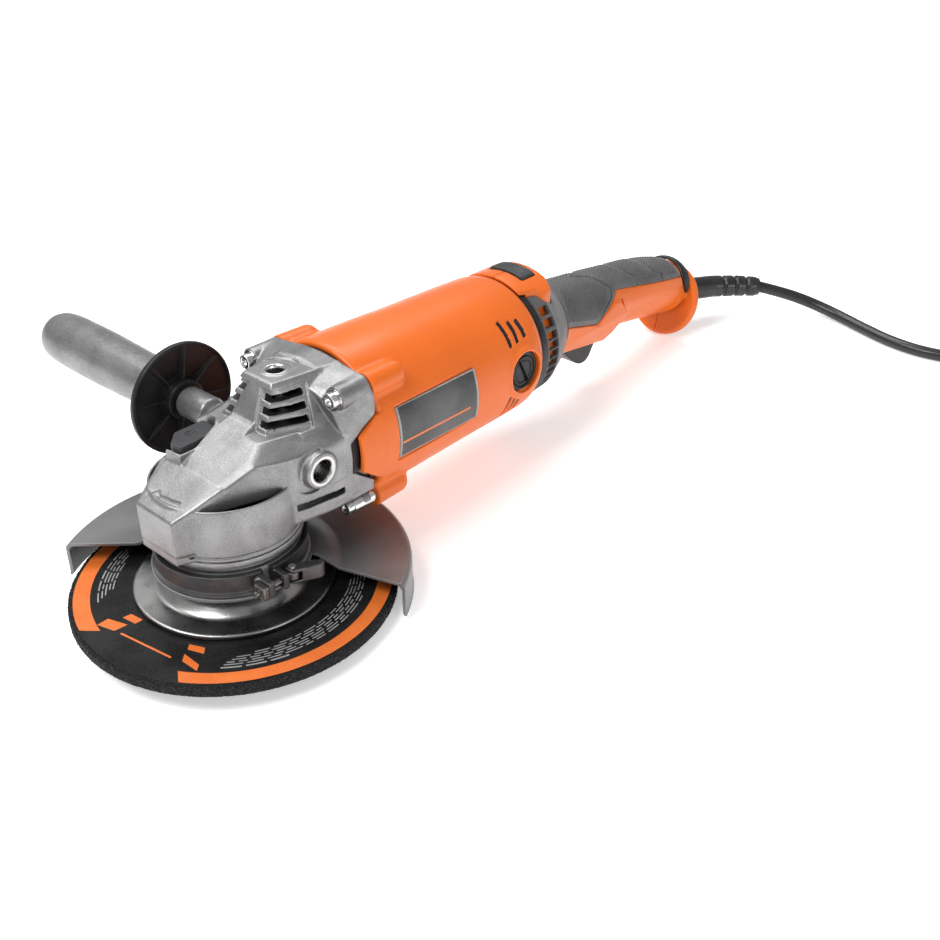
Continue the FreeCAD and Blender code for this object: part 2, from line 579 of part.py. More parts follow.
def make_motor_housing():
    front, back, radius, inside = (S["housing_front"], S["housing_back"], S["housing_radius"],
                                   S["housing_inside"])
    axis = S["motor_height"]
    outside = [(front, radius - 2.2), (front + 4, radius), (100, radius), (150, radius - 1.5),
               (200, radius - 2.4), (207, radius - 3.2), (back, S["ring_radius"])]
    profile = [Vector(front, 0, 0)] + [Vector(a, 0, b) for a, b in outside] + [Vector(back, 0, 0)]
    solid = Part.Face(Part.makePolygon(profile + profile[:1])).revolve(Vector(), X, 360)
    solid.translate(Vector(0, 0, axis))
    towers = [cylinder(7.2, (lug_back(b) + 0.1, a, b), (92, a, b)) for a, b in four_corners()]
    tower_ends = [Part.makeSphere(7.2, Vector(92, a, b)) for a, b in four_corners()]
    cap_rims = [cylinder(S["cap_radius"] + 2.6, (S["cap_x"], 0, axis), (S["cap_x"], side * 43.6, axis))
                for side in (-1, 1)]
    solid = joined([solid] + towers + tower_ends + cap_rims)
    rear_wall_front, rear_wall_back = 203.5, 206.5
    hollow = cylinder(inside, (S["case_back"] - 1, 0, axis), (rear_wall_front, 0, axis))
    tongue_room = cylinder(38.4, (rear_wall_back, 0, axis), (back + 1, 0, axis))
    cap_seats = [cylinder(S["cap_radius"] + 2.6, (S["cap_x"], side * 35.6, axis),
                          (S["cap_x"], side * 43, axis)) for side in (-1, 1)]
    sleeve = cylinder(radius, (57, 0, axis), (front + 2, 0, axis))
    sleeve = sleeve.cut(cylinder(43.6, (50, 0, axis), (72.1, 0, axis))).common(side_notch(0.6))
    tongues = [sleeve.common(box((50, -60, 40), (80, -38, 120))),
               sleeve.common(box((50, 38, 40), (80, 60, 120)))]
    solid = joined([solid.cut(hollow)] + cap_seats + tongues).cut(tongue_room)
    boss = cylinder(15, (rear_wall_front, 0, axis), (213.8, 0, axis))
    solid = solid.fuse(boss)
    cuts = [cylinder(11, (205, 0, axis), (215, 0, axis)), cylinder(5, (200, 0, axis), (210, 0, axis))]
    cuts += [cylinder(2.3, (60, a, b), (90, a, b)) for a, b in four_corners()]
    for index in range(6):
        turn = math.radians(60 * index + 30)
        centre = (26 * math.cos(turn), axis + 26 * math.sin(turn))
        cuts.append(cylinder(7.5, (200, *centre), (210, *centre)))
    for side in (-1, 1):
        cuts.append(cylinder(6.6, (S["cap_x"], 0, axis), (S["cap_x"], side * 60, axis)))
        cuts.append(cylinder(S["cap_radius"] + 0.1, (S["cap_x"], side * 37.9, axis),
                             (S["cap_x"], side * 60, axis)))
        for index in range(3):
            start = 186 + 5 * index
            cuts.append(box((start, min(side * 30, side * 60), axis + 18),
                            (start + 2.2, max(side * 30, side * 60), axis + 28)))
            cuts.append(box((start, min(side * 30, side * 60), axis - 28),
                            (start + 2.2, max(side * 30, side * 60), axis - 18)))
    solid = without(solid.cut(cuts), name_plates())
    free_form("motor_housing", solid)
    free_form("name_plates", Part.makeCompound(name_plates()))


def make_baffle():
    """The black plate between fan and motor, notched for the housing's four screw towers."""
    front, back, axis = S["case_back"] + 0.1, S["housing_front"] - 0.1, S["motor_height"]
    plate = cylinder(43.5, (front, 0, axis), (back, 0, axis))
    plate = plate.cut([cylinder(30, (60, 0, axis), (80, 0, axis)),
                       cylinder(40, (front + 2, 0, axis), (80, 0, axis))])
    notches = [cylinder(7.5, (60, a, b), (80, a, b)) for a, b in four_corners()]
    cheeks = cylinder(42.2, (53.2, 0, axis), (front + 0.5, 0, axis)).cut(
        cylinder(39.2, (50, 0, axis), (80, 0, axis)))
    cheeks = cheeks.common(side_notch(0.5))
    sides = [cheeks.common(box((50, -60, 40), (80, -38.7, 120))),
             cheeks.common(box((50, 38.7, 40), (80, 60, 120)))]
    free_form("air_baffle", joined([plate.cut(notches)] + sides))


def make_case_screws():
    screws = []
    for across, height in four_corners():
        front = screw_front(height)
        head = cylinder(4.4, (front - 4.5, across, height), (front, across, height))
        socket = cylinder(2.0, (front - 5, across, height), (front - 2, across, height))
        shank = cylinder(2.25, (front, across, height), (88, across, height))
        screws.append(head.cut(socket).fuse(shank).removeSplitter())
    free_form("gear_case_screws", Part.makeCompound(screws))


def make_motor():
    turned("armature_shaft", MOTOR_FRAME, [
        (0, 18.5), (3, 18.5), (3.5, 19.2), (3.5, 34), (5.98, 34), (5.98, 52), (7, 52), (7, 200),
        (3.98, 200), (3.98, 212.5), (0, 212.5)])
    turned("front_motor_bearing", MOTOR_FRAME, [(6.02, 40.5), (15.98, 40.5), (15.98, 50.5), (6.02, 50.5)])
    turned("rear_motor_bearing", MOTOR_FRAME, [(4.02, 205.2), (10.98, 205.2), (10.98, 212.2), (4.02, 212.2)])
    turned("armature_core", MOTOR_FRAME, [(7.02, 95), (23.5, 95), (23.5, 150), (7.02, 150)])
    windings = [
        (7.02, 84), (17, 84), (21, 88), (21, 94.9), (7.02, 94.9)]
    front = Part.Face(Part.makePolygon([Vector(a, 0, b) for a, b in windings + windings[:1]]))
    rear = front.mirror(Vector(0, 0, 122.5), Z)
    coils = Part.makeCompound([front.revolve(Vector(), Z, 360), rear.revolve(Vector(), Z, 360)])
    free_form("armature_windings", coils, MOTOR_FRAME)
    turned("commutator", MOTOR_FRAME, [(7.02, 183), (15, 183), (15, 202), (7.02, 202)])
    turned("stator_core", MOTOR_FRAME, [(25, 95), (38.5, 95), (38.5, 150), (25, 150)])
    coils = []
    for side in (-1, 1):
        for low, high in ((84, 94.9), (150.1, 161)):
            ring = cylinder(36, (low, 0, 0), (high, 0, 0)).cut(cylinder(26, (0, 0, 0), (300, 0, 0)))
            wedge = prism([(low, 0, 0), (low, 60, 60), (low, 60 * 1.6, 0), (low, 60, -60)], (30, 0, 0))
            half = ring.common(wedge)
            if side < 0:
                half = half.mirror(Vector(), Y)
            coils.append(half)
    frame = Placement(Vector(0, 0, S["motor_height"]), Rotation(X, 90))
    free_form("field_coils", Part.makeCompound(coils), frame)
    make_fan()
    make_brushes()


def make_fan():
    body = turned("cooling_fan", MOTOR_FRAME, [
        (7.02, 55), (12, 55), (12, 63), (36, 63), (36, 64.5), (7.02, 64.5)])
    blade = add_pad(body, "fan_blade", [(11, -0.8), (35.5, -0.8), (35.5, 0.8), (11, 0.8)], 55.5, 8)
    around(body, blade, 13)


def make_brushes():
    x, axis = S["cap_x"], S["motor_height"]
    holders, brushes, springs, caps = [], [], [], []
    for side in (-1, 1):
        def at(reach):
            return (x, side * reach, axis)
        passage = box((x - 4.1, -50, axis - 3.6), (x + 4.1, 50, axis + 3.6))
        holders.append(cylinder(6.4, at(17), at(37.7)).cut(passage))
        brushes.append(box((x - 4, min(side * 15.1, side * 30), axis - 3.5),
                           (x + 4, max(side * 15.1, side * 30), axis + 3.5)))
        coil = cylinder(3.2, at(30.1), at(37.8)).cut(cylinder(2.3, at(20), at(50)))
        springs.append(coil)
        slot = box((x - 8.5, min(side * 40, side * 50), axis - 1), (x + 8.5, max(side * 40, side * 50), axis + 1))
        caps.append(cylinder(S["cap_radius"], at(38), at(41.8)).cut(slot))
    free_form("brush_holders", Part.makeCompound(holders))
    free_form("carbon_brushes", Part.makeCompound(brushes))
    free_form("brush_springs", Part.makeCompound(springs))
    free_form("brush_caps", Part.makeCompound(caps))


def name_plates():
    """Two blank plates let into the sides of the motor housing."""
    plates = []
    radius, axis = S["housing_radius"], S["motor_height"]
    outer = cylinder(radius + 0.1, (85, 0, axis), (149, 0, axis))
    inner = cylinder(radius - 2.2, (80, 0, axis), (160, 0, axis))
    for side in (-1, 1):
        window = box((85, min(side * 20, side * 60), 60), (149, max(side * 20, side * 60), 93))
        plates.append(outer.cut(inner).common(window))
    return plates


def make_swivel_ring():
    back, radius = S["ring_back"], S["ring_radius"]
    turned("swivel_ring", MOTOR_FRAME, [
        (36, S["housing_back"] + 0.05), (radius, S["housing_back"] + 0.05), (radius, back), (36, back)])


# ---------------------------------------------------------------- rear handle

# middle line and radius of the handle under its rubber: (x, height, radius)
HANDLE_SECTIONS = [(219, 75.8, 36.6), (231, 75.8, 35.4), (241, 75.8, 31.4), (252.4, 75.6, 25.5),
                   (264, 74.0, 22.6), (290, 71.4, 21.9), (312, 70.0, 21.0), (335, 68.6, 19.4),
                   (360, 65.6, 19.3), (385, 60.8, 19.0), (404, 56.2, 18.2)]
RUBBER = 1.9             # thickness of the grip's rubber
SHELL_WALL = 2.6         # wall of the handle's two shells
TRIGGER_PIVOT = (272.5, 55.0)


SADDLE_RADIUS = 43.4      # outside of the saddle that carries the release button


def saddle_plan(grow, low):
    """The saddle seen from above, grown by a gap, as a tall prism that starts at a height."""
    half = [(212.3 - grow, 21.2 + grow), (227.2, 23.7 + grow), (229.4 - grow, 27.4 + grow),
            (237.9 + grow, 26.6 + grow), (241.3 + grow, 18.2)]
    plan = half + [(x, -y) for x, y in reversed(half)]
    return prism([(x, y, low) for x, y in plan], (0, 0, 60))


def handle_outside():
    under = ring_loft(HANDLE_SECTIONS)
    tongue = cylinder(35.7, (208.2, 0, 75.8), (219.1, 0, 75.8))
    lip = cylinder(37.6, (208.2, 0, 75.8), (211, 0, 75.8))
    keel = side_prism([(262, 62), (262, 53.8), (275, 51.4), (311, 43.8), (319, 42), (326, 47.5), (326, 62)],
                      11.5)
    belly = cylinder(18.4, (330, 0, 65.2), (401, 0, 54.2))
    flange = cylinder(S["flange_radius"], (0, 0, -3), (0, 0, 3))
    flange.Placement = FLANGE_FRAME
    stem = ring_loft([(404, 56.2, 18.2), (409, 50, 19)])
    cap = cylinder(SADDLE_RADIUS, (212.3, 0, 75.8), (242, 0, 75.8)).common(saddle_plan(0, 100))
    cap = cap.cut(cylinder(S["ring_radius"] + 0.4, (212, 0, 75.8), (S["ring_back"] + 0.35, 0, 75.8)))
    return joined([under, tongue, lip, keel, belly, flange, stem, cap])


def handle_inside():
    hollow = ring_loft(HANDLE_SECTIONS[:-1] + [(400, 57.2, 18.3)], -SHELL_WALL)
    front = cylinder(32.6, (200, 0, 75.8), (219.2, 0, 75.8))
    keel = side_prism([(264, 62), (264, 56), (276, 53.6), (311, 46.2), (317, 45), (323, 50), (323, 62)],
                      9.5)
    trigger_slot = box((269, -8.4, 30), (317.4, 8.4, 62))
    cord_way = cylinder(9.1, (390, 0, 48.6), (425, 0, 39.4))
    button_well = box((223.5, -13.8, 104), (237, 13.8, 130))
    return [hollow, front, keel, trigger_slot, cord_way, button_well]


HANDLE_SCREWS = [(258, 62.0), (330, 76.0), (330, 58.5), (398, 62.0)]


def make_handle():
    solid = without(handle_outside(), handle_inside())
    posts = [cylinder(4.2, (a, -17, b), (a, 17, b)) for a, b in HANDLE_SCREWS]
    for post in posts:
        solid = solid.fuse(post.common(ring_loft(HANDLE_SECTIONS, -1.0)))
    for label, side in (("handle_shell_near", -1), ("handle_shell_far", 1)):
        half = solid.common(box((200, min(side * 0.01, side * 60), -20),
                                (440, max(side * 0.01, side * 60), 140)))
        half = without(half, [cylinder(1.8, (a, -12.5, b), (a, 30, b)) for a, b in HANDLE_SCREWS])
        half = without(half, [cylinder(3.4, (a, 15, b), (a, 30, b)) for a, b in HANDLE_SCREWS])
        free_form(label, half)
    free_form("grip_rubber", grip_shape())
    screws = []
    for a, b in HANDLE_SCREWS:
        head = cylinder(3.2, (a, 15, b), (a, 15.9, b))
        shank = cylinder(1.7, (a, -12, b), (a, 15, b))
        screws.append(head.fuse(shank))
    free_form("handle_screws", Part.makeCompound(screws))


def grip_shape():
    """Rubber over the top and sides of the grip, open along the underside."""
    sections = HANDLE_SECTIONS[3:]
    skin = ring_loft(sections, RUBBER).cut(ring_loft(sections))
    cover = side_prism([(252, 20), (256.6, 20), (256.6, 76.6), (294, 66.4), (320.5, 82), (404, 66.4),
                        (404, 100), (252, 120)], 40)
    return skin.common(cover)


COLLAR_SLOTS = 14        # slots on each side of the collar


def slot_turn(index):
    """Degrees from the top to a slot of the collar: wide steps first, then narrower ones."""
    return 50.4 + 11.4 * min(index, 2) + 8.6 * max(index - 2, 0)


def make_vent_collar():
    back = S["ring_back"] + 0.4
    body = [(back, 40.2), (222, 40.2), (232, 38.9), (242, 35.0), (252, 29.5),
            (252, 26.4), (241, 31.8), (231, 35.8), (222, 37.0), (back, 37.0)]
    profile = [Vector(a, 0, b) for a, b in body]
    ring = Part.Face(Part.makePolygon(profile + profile[:1])).revolve(Vector(), X, 360)
    cuts = [saddle_plan(0.3, 20)]
    for index in range(COLLAR_SLOTS):
        for side in (-1, 1):
            half = 2.5 if index < 2 else 2.1
            slot = box((220.2, -half, 30), (229.4, half, 60))
            slot.rotate(Vector(), X, side * slot_turn(index))
            cuts.append(slot)
    free_form("vent_collar", ring.cut(cuts), Placement(Vector(0, 0, S["motor_height"]), Rotation()))


def make_release_button():
    axis = S["motor_height"]
    button = box((224, -13.3, 109.5), (236.5, 13.3, 125))
    button = button.common(cylinder(SADDLE_RADIUS + 0.9, (220, 0, axis), (240, 0, axis)))
    free_form("release_button", button)
    spring = cylinder(3.6, (231.5, 0, 103.6), (231.5, 0, 105.9)).cut(
        cylinder(2.7, (231.5, 0, 90), (231.5, 0, 120)))
    free_form("release_spring", spring)


def make_trigger():
    x, z = TRIGGER_PIVOT
    paddle = side_prism([(x - 3, z + 2.6), (x - 3, z - 3), (277, 47.5), (286, 38.5), (296, 32),
                         (301, 31.2), (305, 32.6), (312.5, 41), (314.5, 51.5), (300, 54.5),
                         (x + 4, z + 2.6)], 8.0)
    hole = cylinder(2.05, (x, -20, z), (x, 20, z))
    free_form("trigger", paddle.cut(hole))
    free_form("trigger_pin", cylinder(2.0, (x, -12.4, z), (x, 12.4, z)))
    spring = cylinder(3.0, (303, 0, 60.1), (303, 0, 61.4)).cut(cylinder(2.2, (303, 0, 40), (303, 0, 90)))
    free_form("trigger_spring", spring)
    free_form("switch_body", box((282, -9.5, 61.5), (318, 9.5, 82)))
    free_form("soft_start_module", box((346, -10, 58), (378, 10, 74)))


def make_cord_clamp():
    bar = box((384, -11, 56), (391, 11, 59))
    free_form("cord_clamp", bar)


# ---------------------------------------------------------------- side handle

def make_side_handle():
    near, far = S["disc_y"], S["grip_end"]
    turned("side_handle_stud", SIDE_FRAME, [
        (0, 24), (4.9, 24), (5.8, 25), (5.8, 47), (7.5, 49), (7.5, near + 1), (6, near + 1),
        (6, 150), (0, 150)])
    body = turned("side_handle_guard", SIDE_FRAME, [
        (7.55, near - 3.5), (12, near - 3.5), (12.5, near + 4), (31.5, near + 1.5),
        (31.7, near), (S["disc_radius"], near), (S["disc_radius"], near + 3.4),
        (31, near + 4.6), (13, near + 7.5), (7.55, near + 7.5)])
    rib = add_pad(body, "guard_rib", [(11.5, -0.7), (32, -0.7), (32, 0.7), (11.5, 0.7)],
                  near + 0.6, 4)
    around(body, rib, 8)
    turned("side_handle_grip", SIDE_FRAME, [
        (6.05, near + 7.6), (13.5, near + 7.6), (14.8, 100), (15.8, 125), (16.5, 150), (16.6, 180),
        (16.2, far - 15), (14, far - 7), (9, far - 1.8), (0, far), (0, 150.1), (6.05, 150.1)])


# ---------------------------------------------------------------- mains lead, on the standing tool

# These pieces are placed where they lie: Z = 0 is the surface that the tool stands on.
BOOT_ROUTE = [(232.2, -61.05, 31.4), (248.1, -61.05, 26.4), (248.6, -61.05, 26.2),
              (255.0, -61.4, 25.9), (272.3, -65.0, 25.0), (290.3, -75.0, 23.7),
              (305.3, -87.0, 22.0), (317.3, -99.5, 20.5)]
BOOT_RADII = [8.9, 8.9, 10.4, 9.2, 8.6, 8.3, 8.0, 7.4]
BOOT_END = (317.3, -99.5, 20.5)
CORD_ROUTE = [BOOT_END, (329.3, -117.0, 15.5), (338.3, -137.0, 9.0), (338.3, -159.0, 5.2),
              (332.3, -181.0, 4.3), (325.3, -204.0, 4.3), (323.0, -227.0, 4.3), (327.0, -249.0, 4.3),
              (333.0, -271.0, 4.4), (338.0, -293.0, 4.9), (339.0, -311.1, 5.3)]
COIL_MIDDLE = (399.0, -308.0)
COIL_LAYERS = (5.3, 13.9)                  # heights of the coil's two layers
COIL_RADII = (33.9, 60.1)                  # middle of the innermost and outermost turn
TAIL_ROUTE = [(399.0, -368.1, 13.9), (414.0, -368.6, 13.6), (429.5, -369.8, 12.4), (443.0, -371.0, 11.2)]
PLUG_MIDDLE = (-371.0, 11.0)               # middle of the plug, across and up


def tube(route, radius):
    """Straight runs joined by tangent arcs, each arc as large as its two runs allow."""
    points = [Vector(*point) for point in route]
    edges, start, length, radii = [], points[0], 0.0, []
    for before, corner, after in zip(points, points[1:], points[2:]):
        into, out = (corner - before), (after - corner)
        turn = into.getAngle(out)
        reach = 0.45 * min(into.Length, out.Length)
        radii.append(reach / math.tan(turn / 2))
        into.normalize()
        out.normalize()
        first, last = corner - into * reach, corner + out * reach
        inward = out - into
        inward.normalize()
        middle = corner + inward * (radii[-1] / math.cos(turn / 2) - radii[-1])
        edges += [Part.LineSegment(start, first).toShape(), Part.Arc(first, middle, last).toShape()]
        start = last
    edges.append(Part.LineSegment(start, points[-1]).toShape())
    path = Part.Wire(edges)
    ring = Part.Wire(Part.makeCircle(radius, points[0], points[1] - points[0]))
    solid = path.makePipeShell([ring], True, False)
    return solid, path.Length, radii


def make_cord():
    radius = S["cord_diameter"] / 2
    lengths, solids = [], []
    for name, route in (("lead", CORD_ROUTE), ("end at the plug", TAIL_ROUTE)):
        solid, length, radii = tube(route, radius)
        solids.append(solid)
        lengths.append(length)
        expected = math.pi * radius ** 2 * length
        print(f"{name}: length {length:.1f}, volume over section times length "
              f"{solid.Volume / expected:.4f}, arc radii {[round(value) for value in radii]}")
    LEAD.append(free_form("power_cord", Part.makeCompound(solids)))
    turns_length = 2 * math.pi * S["cord_turns"] * (COIL_RADII[0] + COIL_RADII[1]) / 2
    print(f"whole lead {sum(lengths) + turns_length:.0f}, of which coiled {turns_length:.0f}")
    x, y = COIL_MIDDLE
    low, high = COIL_LAYERS[0] - radius, COIL_LAYERS[1] + radius
    outer = cylinder(COIL_RADII[1] + radius + 0.3, (x, y, low), (x, y, high))
    coil = outer.cut(cylinder(COIL_RADII[0] - radius - 0.3, (x, y, -1), (x, y, 40)))
    LEAD.append(free_form("cord_coil", coil))


def make_tie():
    """A strap round the coil's turns, on the side away from the lead's ends."""
    x, y = COIL_MIDDLE
    radius, thick, half_width = S["cord_diameter"] / 2, 1.0, 7.0
    inner, outer = COIL_RADII[0] - radius - 1.8, COIL_RADII[1] + radius + 0.9
    top = COIL_LAYERS[1] + radius + 0.05
    strap = box((x + inner - thick, y - half_width, 0), (x + outer + thick, y + half_width, top + thick))
    room = box((x + inner, y - 20, thick), (x + outer, y + 20, top))
    LEAD.append(free_form("coil_tie", strap.cut(room)))


def make_boot():
    """The rubber strain relief, tapered, with three grooves near its end."""
    points = [Vector(*point) for point in BOOT_ROUTE]
    wires = []
    for index, (point, radius) in enumerate(zip(points, BOOT_RADII)):
        ahead = points[min(index + 1, len(points) - 1)]
        behind = points[max(index - 1, 0)]
        wires.append(Part.Wire(Part.makeCircle(radius, point, ahead - behind)))
    boot = Part.makeLoft(wires, True, True)
    if boot.Volume < 0:
        boot = boot.reversed()
    LEAD.append(free_form("strain_relief", boot))


def make_plug():
    across, height = PLUG_MIDDLE
    start = TAIL_ROUTE[-1][0]
    relief = Part.makeCone(5.6, 8.0, 14, Vector(start, across, height), X)
    body = box((start + 13, across - 13, 0), (start + 38, across + 13, 22))
    edges = [edge for edge in body.Edges if edge.BoundBox.XLength > 20]
    body = body.makeFillet(5, edges)
    LEAD.append(free_form("plug_body", relief.fuse(body)))
    blades = [box((start + 38, across + side * 6.35 - 0.75, height - 3.2),
                  (start + 54, across + side * 6.35 + 0.75, height + 3.2)) for side in (-1, 1)]
    LEAD.append(free_form("plug_blades", Part.makeCompound(blades)))


LEAD = []


def make_all():
    make_wheel()
    make_spindle()
    make_gears()
    make_gear_case()
    make_cover()
    make_spindle_lock()
    make_guard()
    make_clamp()
    make_motor_housing()
    make_baffle()
    make_case_screws()
    make_motor()
    make_swivel_ring()
    make_handle()
    make_vent_collar()
    make_release_button()
    make_trigger()
    make_cord_clamp()
    make_side_handle()
    make_boot()
    make_cord()
    make_tie()
    make_plug()


def stand_up():
    """Leans every piece back onto the guard and the end flange."""
    rest = Placement(Vector(S["stand_x"], S["stand_y"], S["stand_z"]), Rotation(Y, S["lean"]))
    for piece in PIECES:
        if piece not in LEAD:
            piece.Placement = rest.multiply(piece.Placement)


def check_and_write():
    DOCUMENT.recompute()
    for thing in DOCUMENT.Objects:
        if "Invalid" in thing.State or "Error" in thing.State:
            raise RuntimeError(f"{thing.Label} did not recompute")
    os.makedirs("parts", exist_ok=True)
    for piece in PIECES:
        if piece.Shape.isNull() or not piece.Shape.isValid():
            raise RuntimeError(f"{piece.Label} has no valid shape")
        piece.Shape.exportStep(f"parts/{piece.Label}.step")
        print(f"{piece.Label:24s} solids {len(piece.Shape.Solids)}  volume {piece.Shape.Volume:10.0f}")


make_all()
stand_up()
check_and_write()
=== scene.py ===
"""The looks of the angle grinder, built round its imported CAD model.

Every piece is drawn in the tool's own frame, in millimetres: the origin is on the spindle's axis at the
grinding face, +X runs back along the motor, +Y points to the side handle and +Z up the spindle.  TOOL
turns that into the row frame, in metres.  The mains lead lies on the floor, so it is drawn in the row frame.
"""
import json
import math
from collections import namedtuple
from functools import reduce

import bmesh
import bpy
import numpy as np
from mathutils import Matrix, Vector


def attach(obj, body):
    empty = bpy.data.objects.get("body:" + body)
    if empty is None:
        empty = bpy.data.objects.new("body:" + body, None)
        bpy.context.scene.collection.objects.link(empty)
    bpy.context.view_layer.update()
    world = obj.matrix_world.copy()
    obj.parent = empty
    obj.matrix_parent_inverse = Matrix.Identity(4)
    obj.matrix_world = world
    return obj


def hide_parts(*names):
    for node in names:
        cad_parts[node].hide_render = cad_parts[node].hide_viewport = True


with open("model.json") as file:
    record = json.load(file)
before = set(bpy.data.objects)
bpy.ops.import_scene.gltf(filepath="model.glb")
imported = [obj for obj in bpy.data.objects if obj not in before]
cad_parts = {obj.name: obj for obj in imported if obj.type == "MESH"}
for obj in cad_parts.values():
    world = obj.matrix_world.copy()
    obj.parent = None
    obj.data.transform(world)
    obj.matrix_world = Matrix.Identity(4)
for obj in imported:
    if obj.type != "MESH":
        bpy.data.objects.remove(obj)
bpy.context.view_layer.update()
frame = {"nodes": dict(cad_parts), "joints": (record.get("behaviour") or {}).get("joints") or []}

MM = 0.001
SAME_PLACE = 1e-6            # metres, within which corners count as one
SPINDLE_PIVOT = 30.0         # height of the spindle joint's pivot above the grinding face
MOTOR_Z = 75.8               # height of the motor's axis
SIDE_X, SIDE_Z = 32.2, 77.7  # the side handle's axis
GUARD_TURN = 31.0            # direction of the guard's middle, from +X towards +Y


def tool_frame():
    """The tool's axes and origin, from the joints of its spindle and its armature."""
    joints = {joint["name"]: joint for joint in frame["joints"]}
    up = Vector(joints["spindle_spin"]["axis"]).normalized()
    back = Vector(joints["armature_spin"]["axis"]).normalized()
    origin = Vector(joints["spindle_spin"]["pos_m"]) - up * SPINDLE_PIVOT * MM
    turn = Matrix((back, up.cross(back), up)).transposed()
    return Matrix.Translation(origin) @ turn.to_4x4() @ Matrix.Scale(MM, 4)


TOOL = tool_frame()
ROW = Matrix.Identity(4)     # for pieces drawn where they lie, in metres


def line_at(place, axis, degrees=90):
    """A frame with its origin at a place, turned about one axis."""
    return Matrix.Translation(place) @ Matrix.Rotation(math.radians(degrees), 4, axis)


# Frames of the turned pieces, whose own Z axis is the axis of turning.
SPINDLE = Matrix.Identity(4)
MOTOR = line_at((0, 0, MOTOR_Z), "Y")
SIDE = line_at((SIDE_X, 0, SIDE_Z), "X", -90)
GUARD = Matrix.Rotation(math.radians(GUARD_TURN), 4, "Z")


# ---------------------------------------------------------------- solids held as distances

Shape = namedtuple("Shape", "distance low high")


def rounded(distances, edge=0.0):
    """Distance to what lies inside all of several bounds, its edges rounded."""
    grown = [distance + edge for distance in distances]
    outside = sum(np.maximum(distance, 0) ** 2 for distance in grown)
    return np.sqrt(outside) + np.minimum(reduce(np.maximum, grown), 0) - edge


def blend(first, second, soft):
    """The lower of two distances, with a fillet where they meet."""
    low = np.minimum(first, second)
    if soft <= 0:
        return low
    near = np.maximum(soft - np.abs(first - second), 0) / soft
    return low - near * near * soft / 4


def polygon(corners, across, up):
    """Signed distance to a closed outline of straight lines."""
    best, inside = np.float32(1e9), False
    for (ax, ay), (bx, by) in zip(corners, corners[1:] + corners[:1]):
        ex, ey = bx - ax, by - ay
        wx, wy = across - ax, up - ay
        share = np.clip((wx * ex + wy * ey) / (ex * ex + ey * ey), 0, 1)
        best = np.minimum(best, (wx - ex * share) ** 2 + (wy - ey * share) ** 2)
        crosses = ((ay > up) != (by > up)) & (across < ex * (up - ay) / (ey or 1e-9) + ax)
        inside = inside ^ crosses
    return np.where(inside, -1, 1) * np.sqrt(best)


def soften(corners, radius, steps=3):
    """The outline with every corner replaced by a curve that starts radius away from it."""
    made = []
    count = len(corners)
    for index in range(count):
        corner, before, after = (Vector(corners[i % count]) for i in (index, index - 1, index + 1))
        into, out = before - corner, after - corner
        reach = min(radius, 0.48 * into.length, 0.48 * out.length)
        first, last = corner + into.normalized() * reach, corner + out.normalized() * reach
        for step in range(steps + 1):
            share = step / steps
            point = first * (1 - share) ** 2 + corner * 2 * share * (1 - share) + last * share ** 2
            made.append(tuple(point))
    return made


def rod(start, end, radius, end_radius=None, edge=0.0):
    """A cylinder or a cone between two points."""
    start, end = np.array(start, float), np.array(end, float)
    length = float(np.linalg.norm(end - start))
    way = (end - start) / length
    slope = ((radius if end_radius is None else end_radius) - radius) / length
    widest = max(radius, radius + slope * length)

    def distance(*at):
        offsets = [a - s for a, s in zip(at, start)]
        along = sum(o * w for o, w in zip(offsets, way))
        away = np.sqrt(np.maximum(sum(o * o for o in offsets) - along * along, 0))
        side = (away - radius - slope * along) / math.hypot(1, slope)
        return rounded([side, np.abs(along - length / 2) - length / 2], edge)

    spread = widest * np.sqrt(np.maximum(1 - way * way, 0)) + 0.1
    return Shape(distance, np.minimum(start, end) - spread, np.maximum(start, end) + spread)


def block(low, high, edge=0.0):
    """A box between two corners."""

    def distance(*at):
        return rounded([np.abs(a - (l + h) / 2) - (h - l) / 2 for a, l, h in zip(at, low, high)], edge)
    return Shape(distance, low, high)


def ball(middle, radius):
    def distance(*at):
        return np.sqrt(sum((a - m) ** 2 for a, m in zip(at, middle))) - radius
    return Shape(distance, np.subtract(middle, radius), np.add(middle, radius))


THROUGH = (-60, 60)          # across the whole tool


def both_sides(half):
    """A closed outline from the corners on one side of the tool's middle plane."""
    return half + [(x, -y) for x, y in reversed(half)]


def slab(axis, corners, low, high, edge=0.0):
    """A prism along axis 0, 1 or 2.  Its corners lie in the plane of the other two, in their order."""
    flat = [other for other in range(3) if other != axis]

    def distance(*at):
        outline = polygon(corners, at[flat[0]], at[flat[1]])
        return rounded([outline, np.abs(at[axis] - (low + high) / 2) - (high - low) / 2], edge)

    lowest, highest = [0, 0, 0], [0, 0, 0]
    lowest[axis], highest[axis] = low, high
    for place, other in enumerate(flat):
        lowest[other] = min(corner[place] for corner in corners)
        highest[other] = max(corner[place] for corner in corners)
    return Shape(distance, lowest, highest)


def hull(corners, edge=0.0):
    """The smallest convex solid round some points."""
    made = bmesh.new()
    for corner in corners:
        made.verts.new(corner)
    bmesh.ops.convex_hull(made, input=made.verts)
    bmesh.ops.recalc_face_normals(made, faces=made.faces)
    planes = {tuple(round(x, 3) for x in (*face.normal, face.normal.dot(face.verts[0].co)))
              for face in made.faces}
    made.free()

    def distance(x, y, z):
        return rounded([a * x + b * y + c * z - d for a, b, c, d in sorted(planes)], edge)

    return Shape(distance, np.min(corners, 0), np.max(corners, 0))


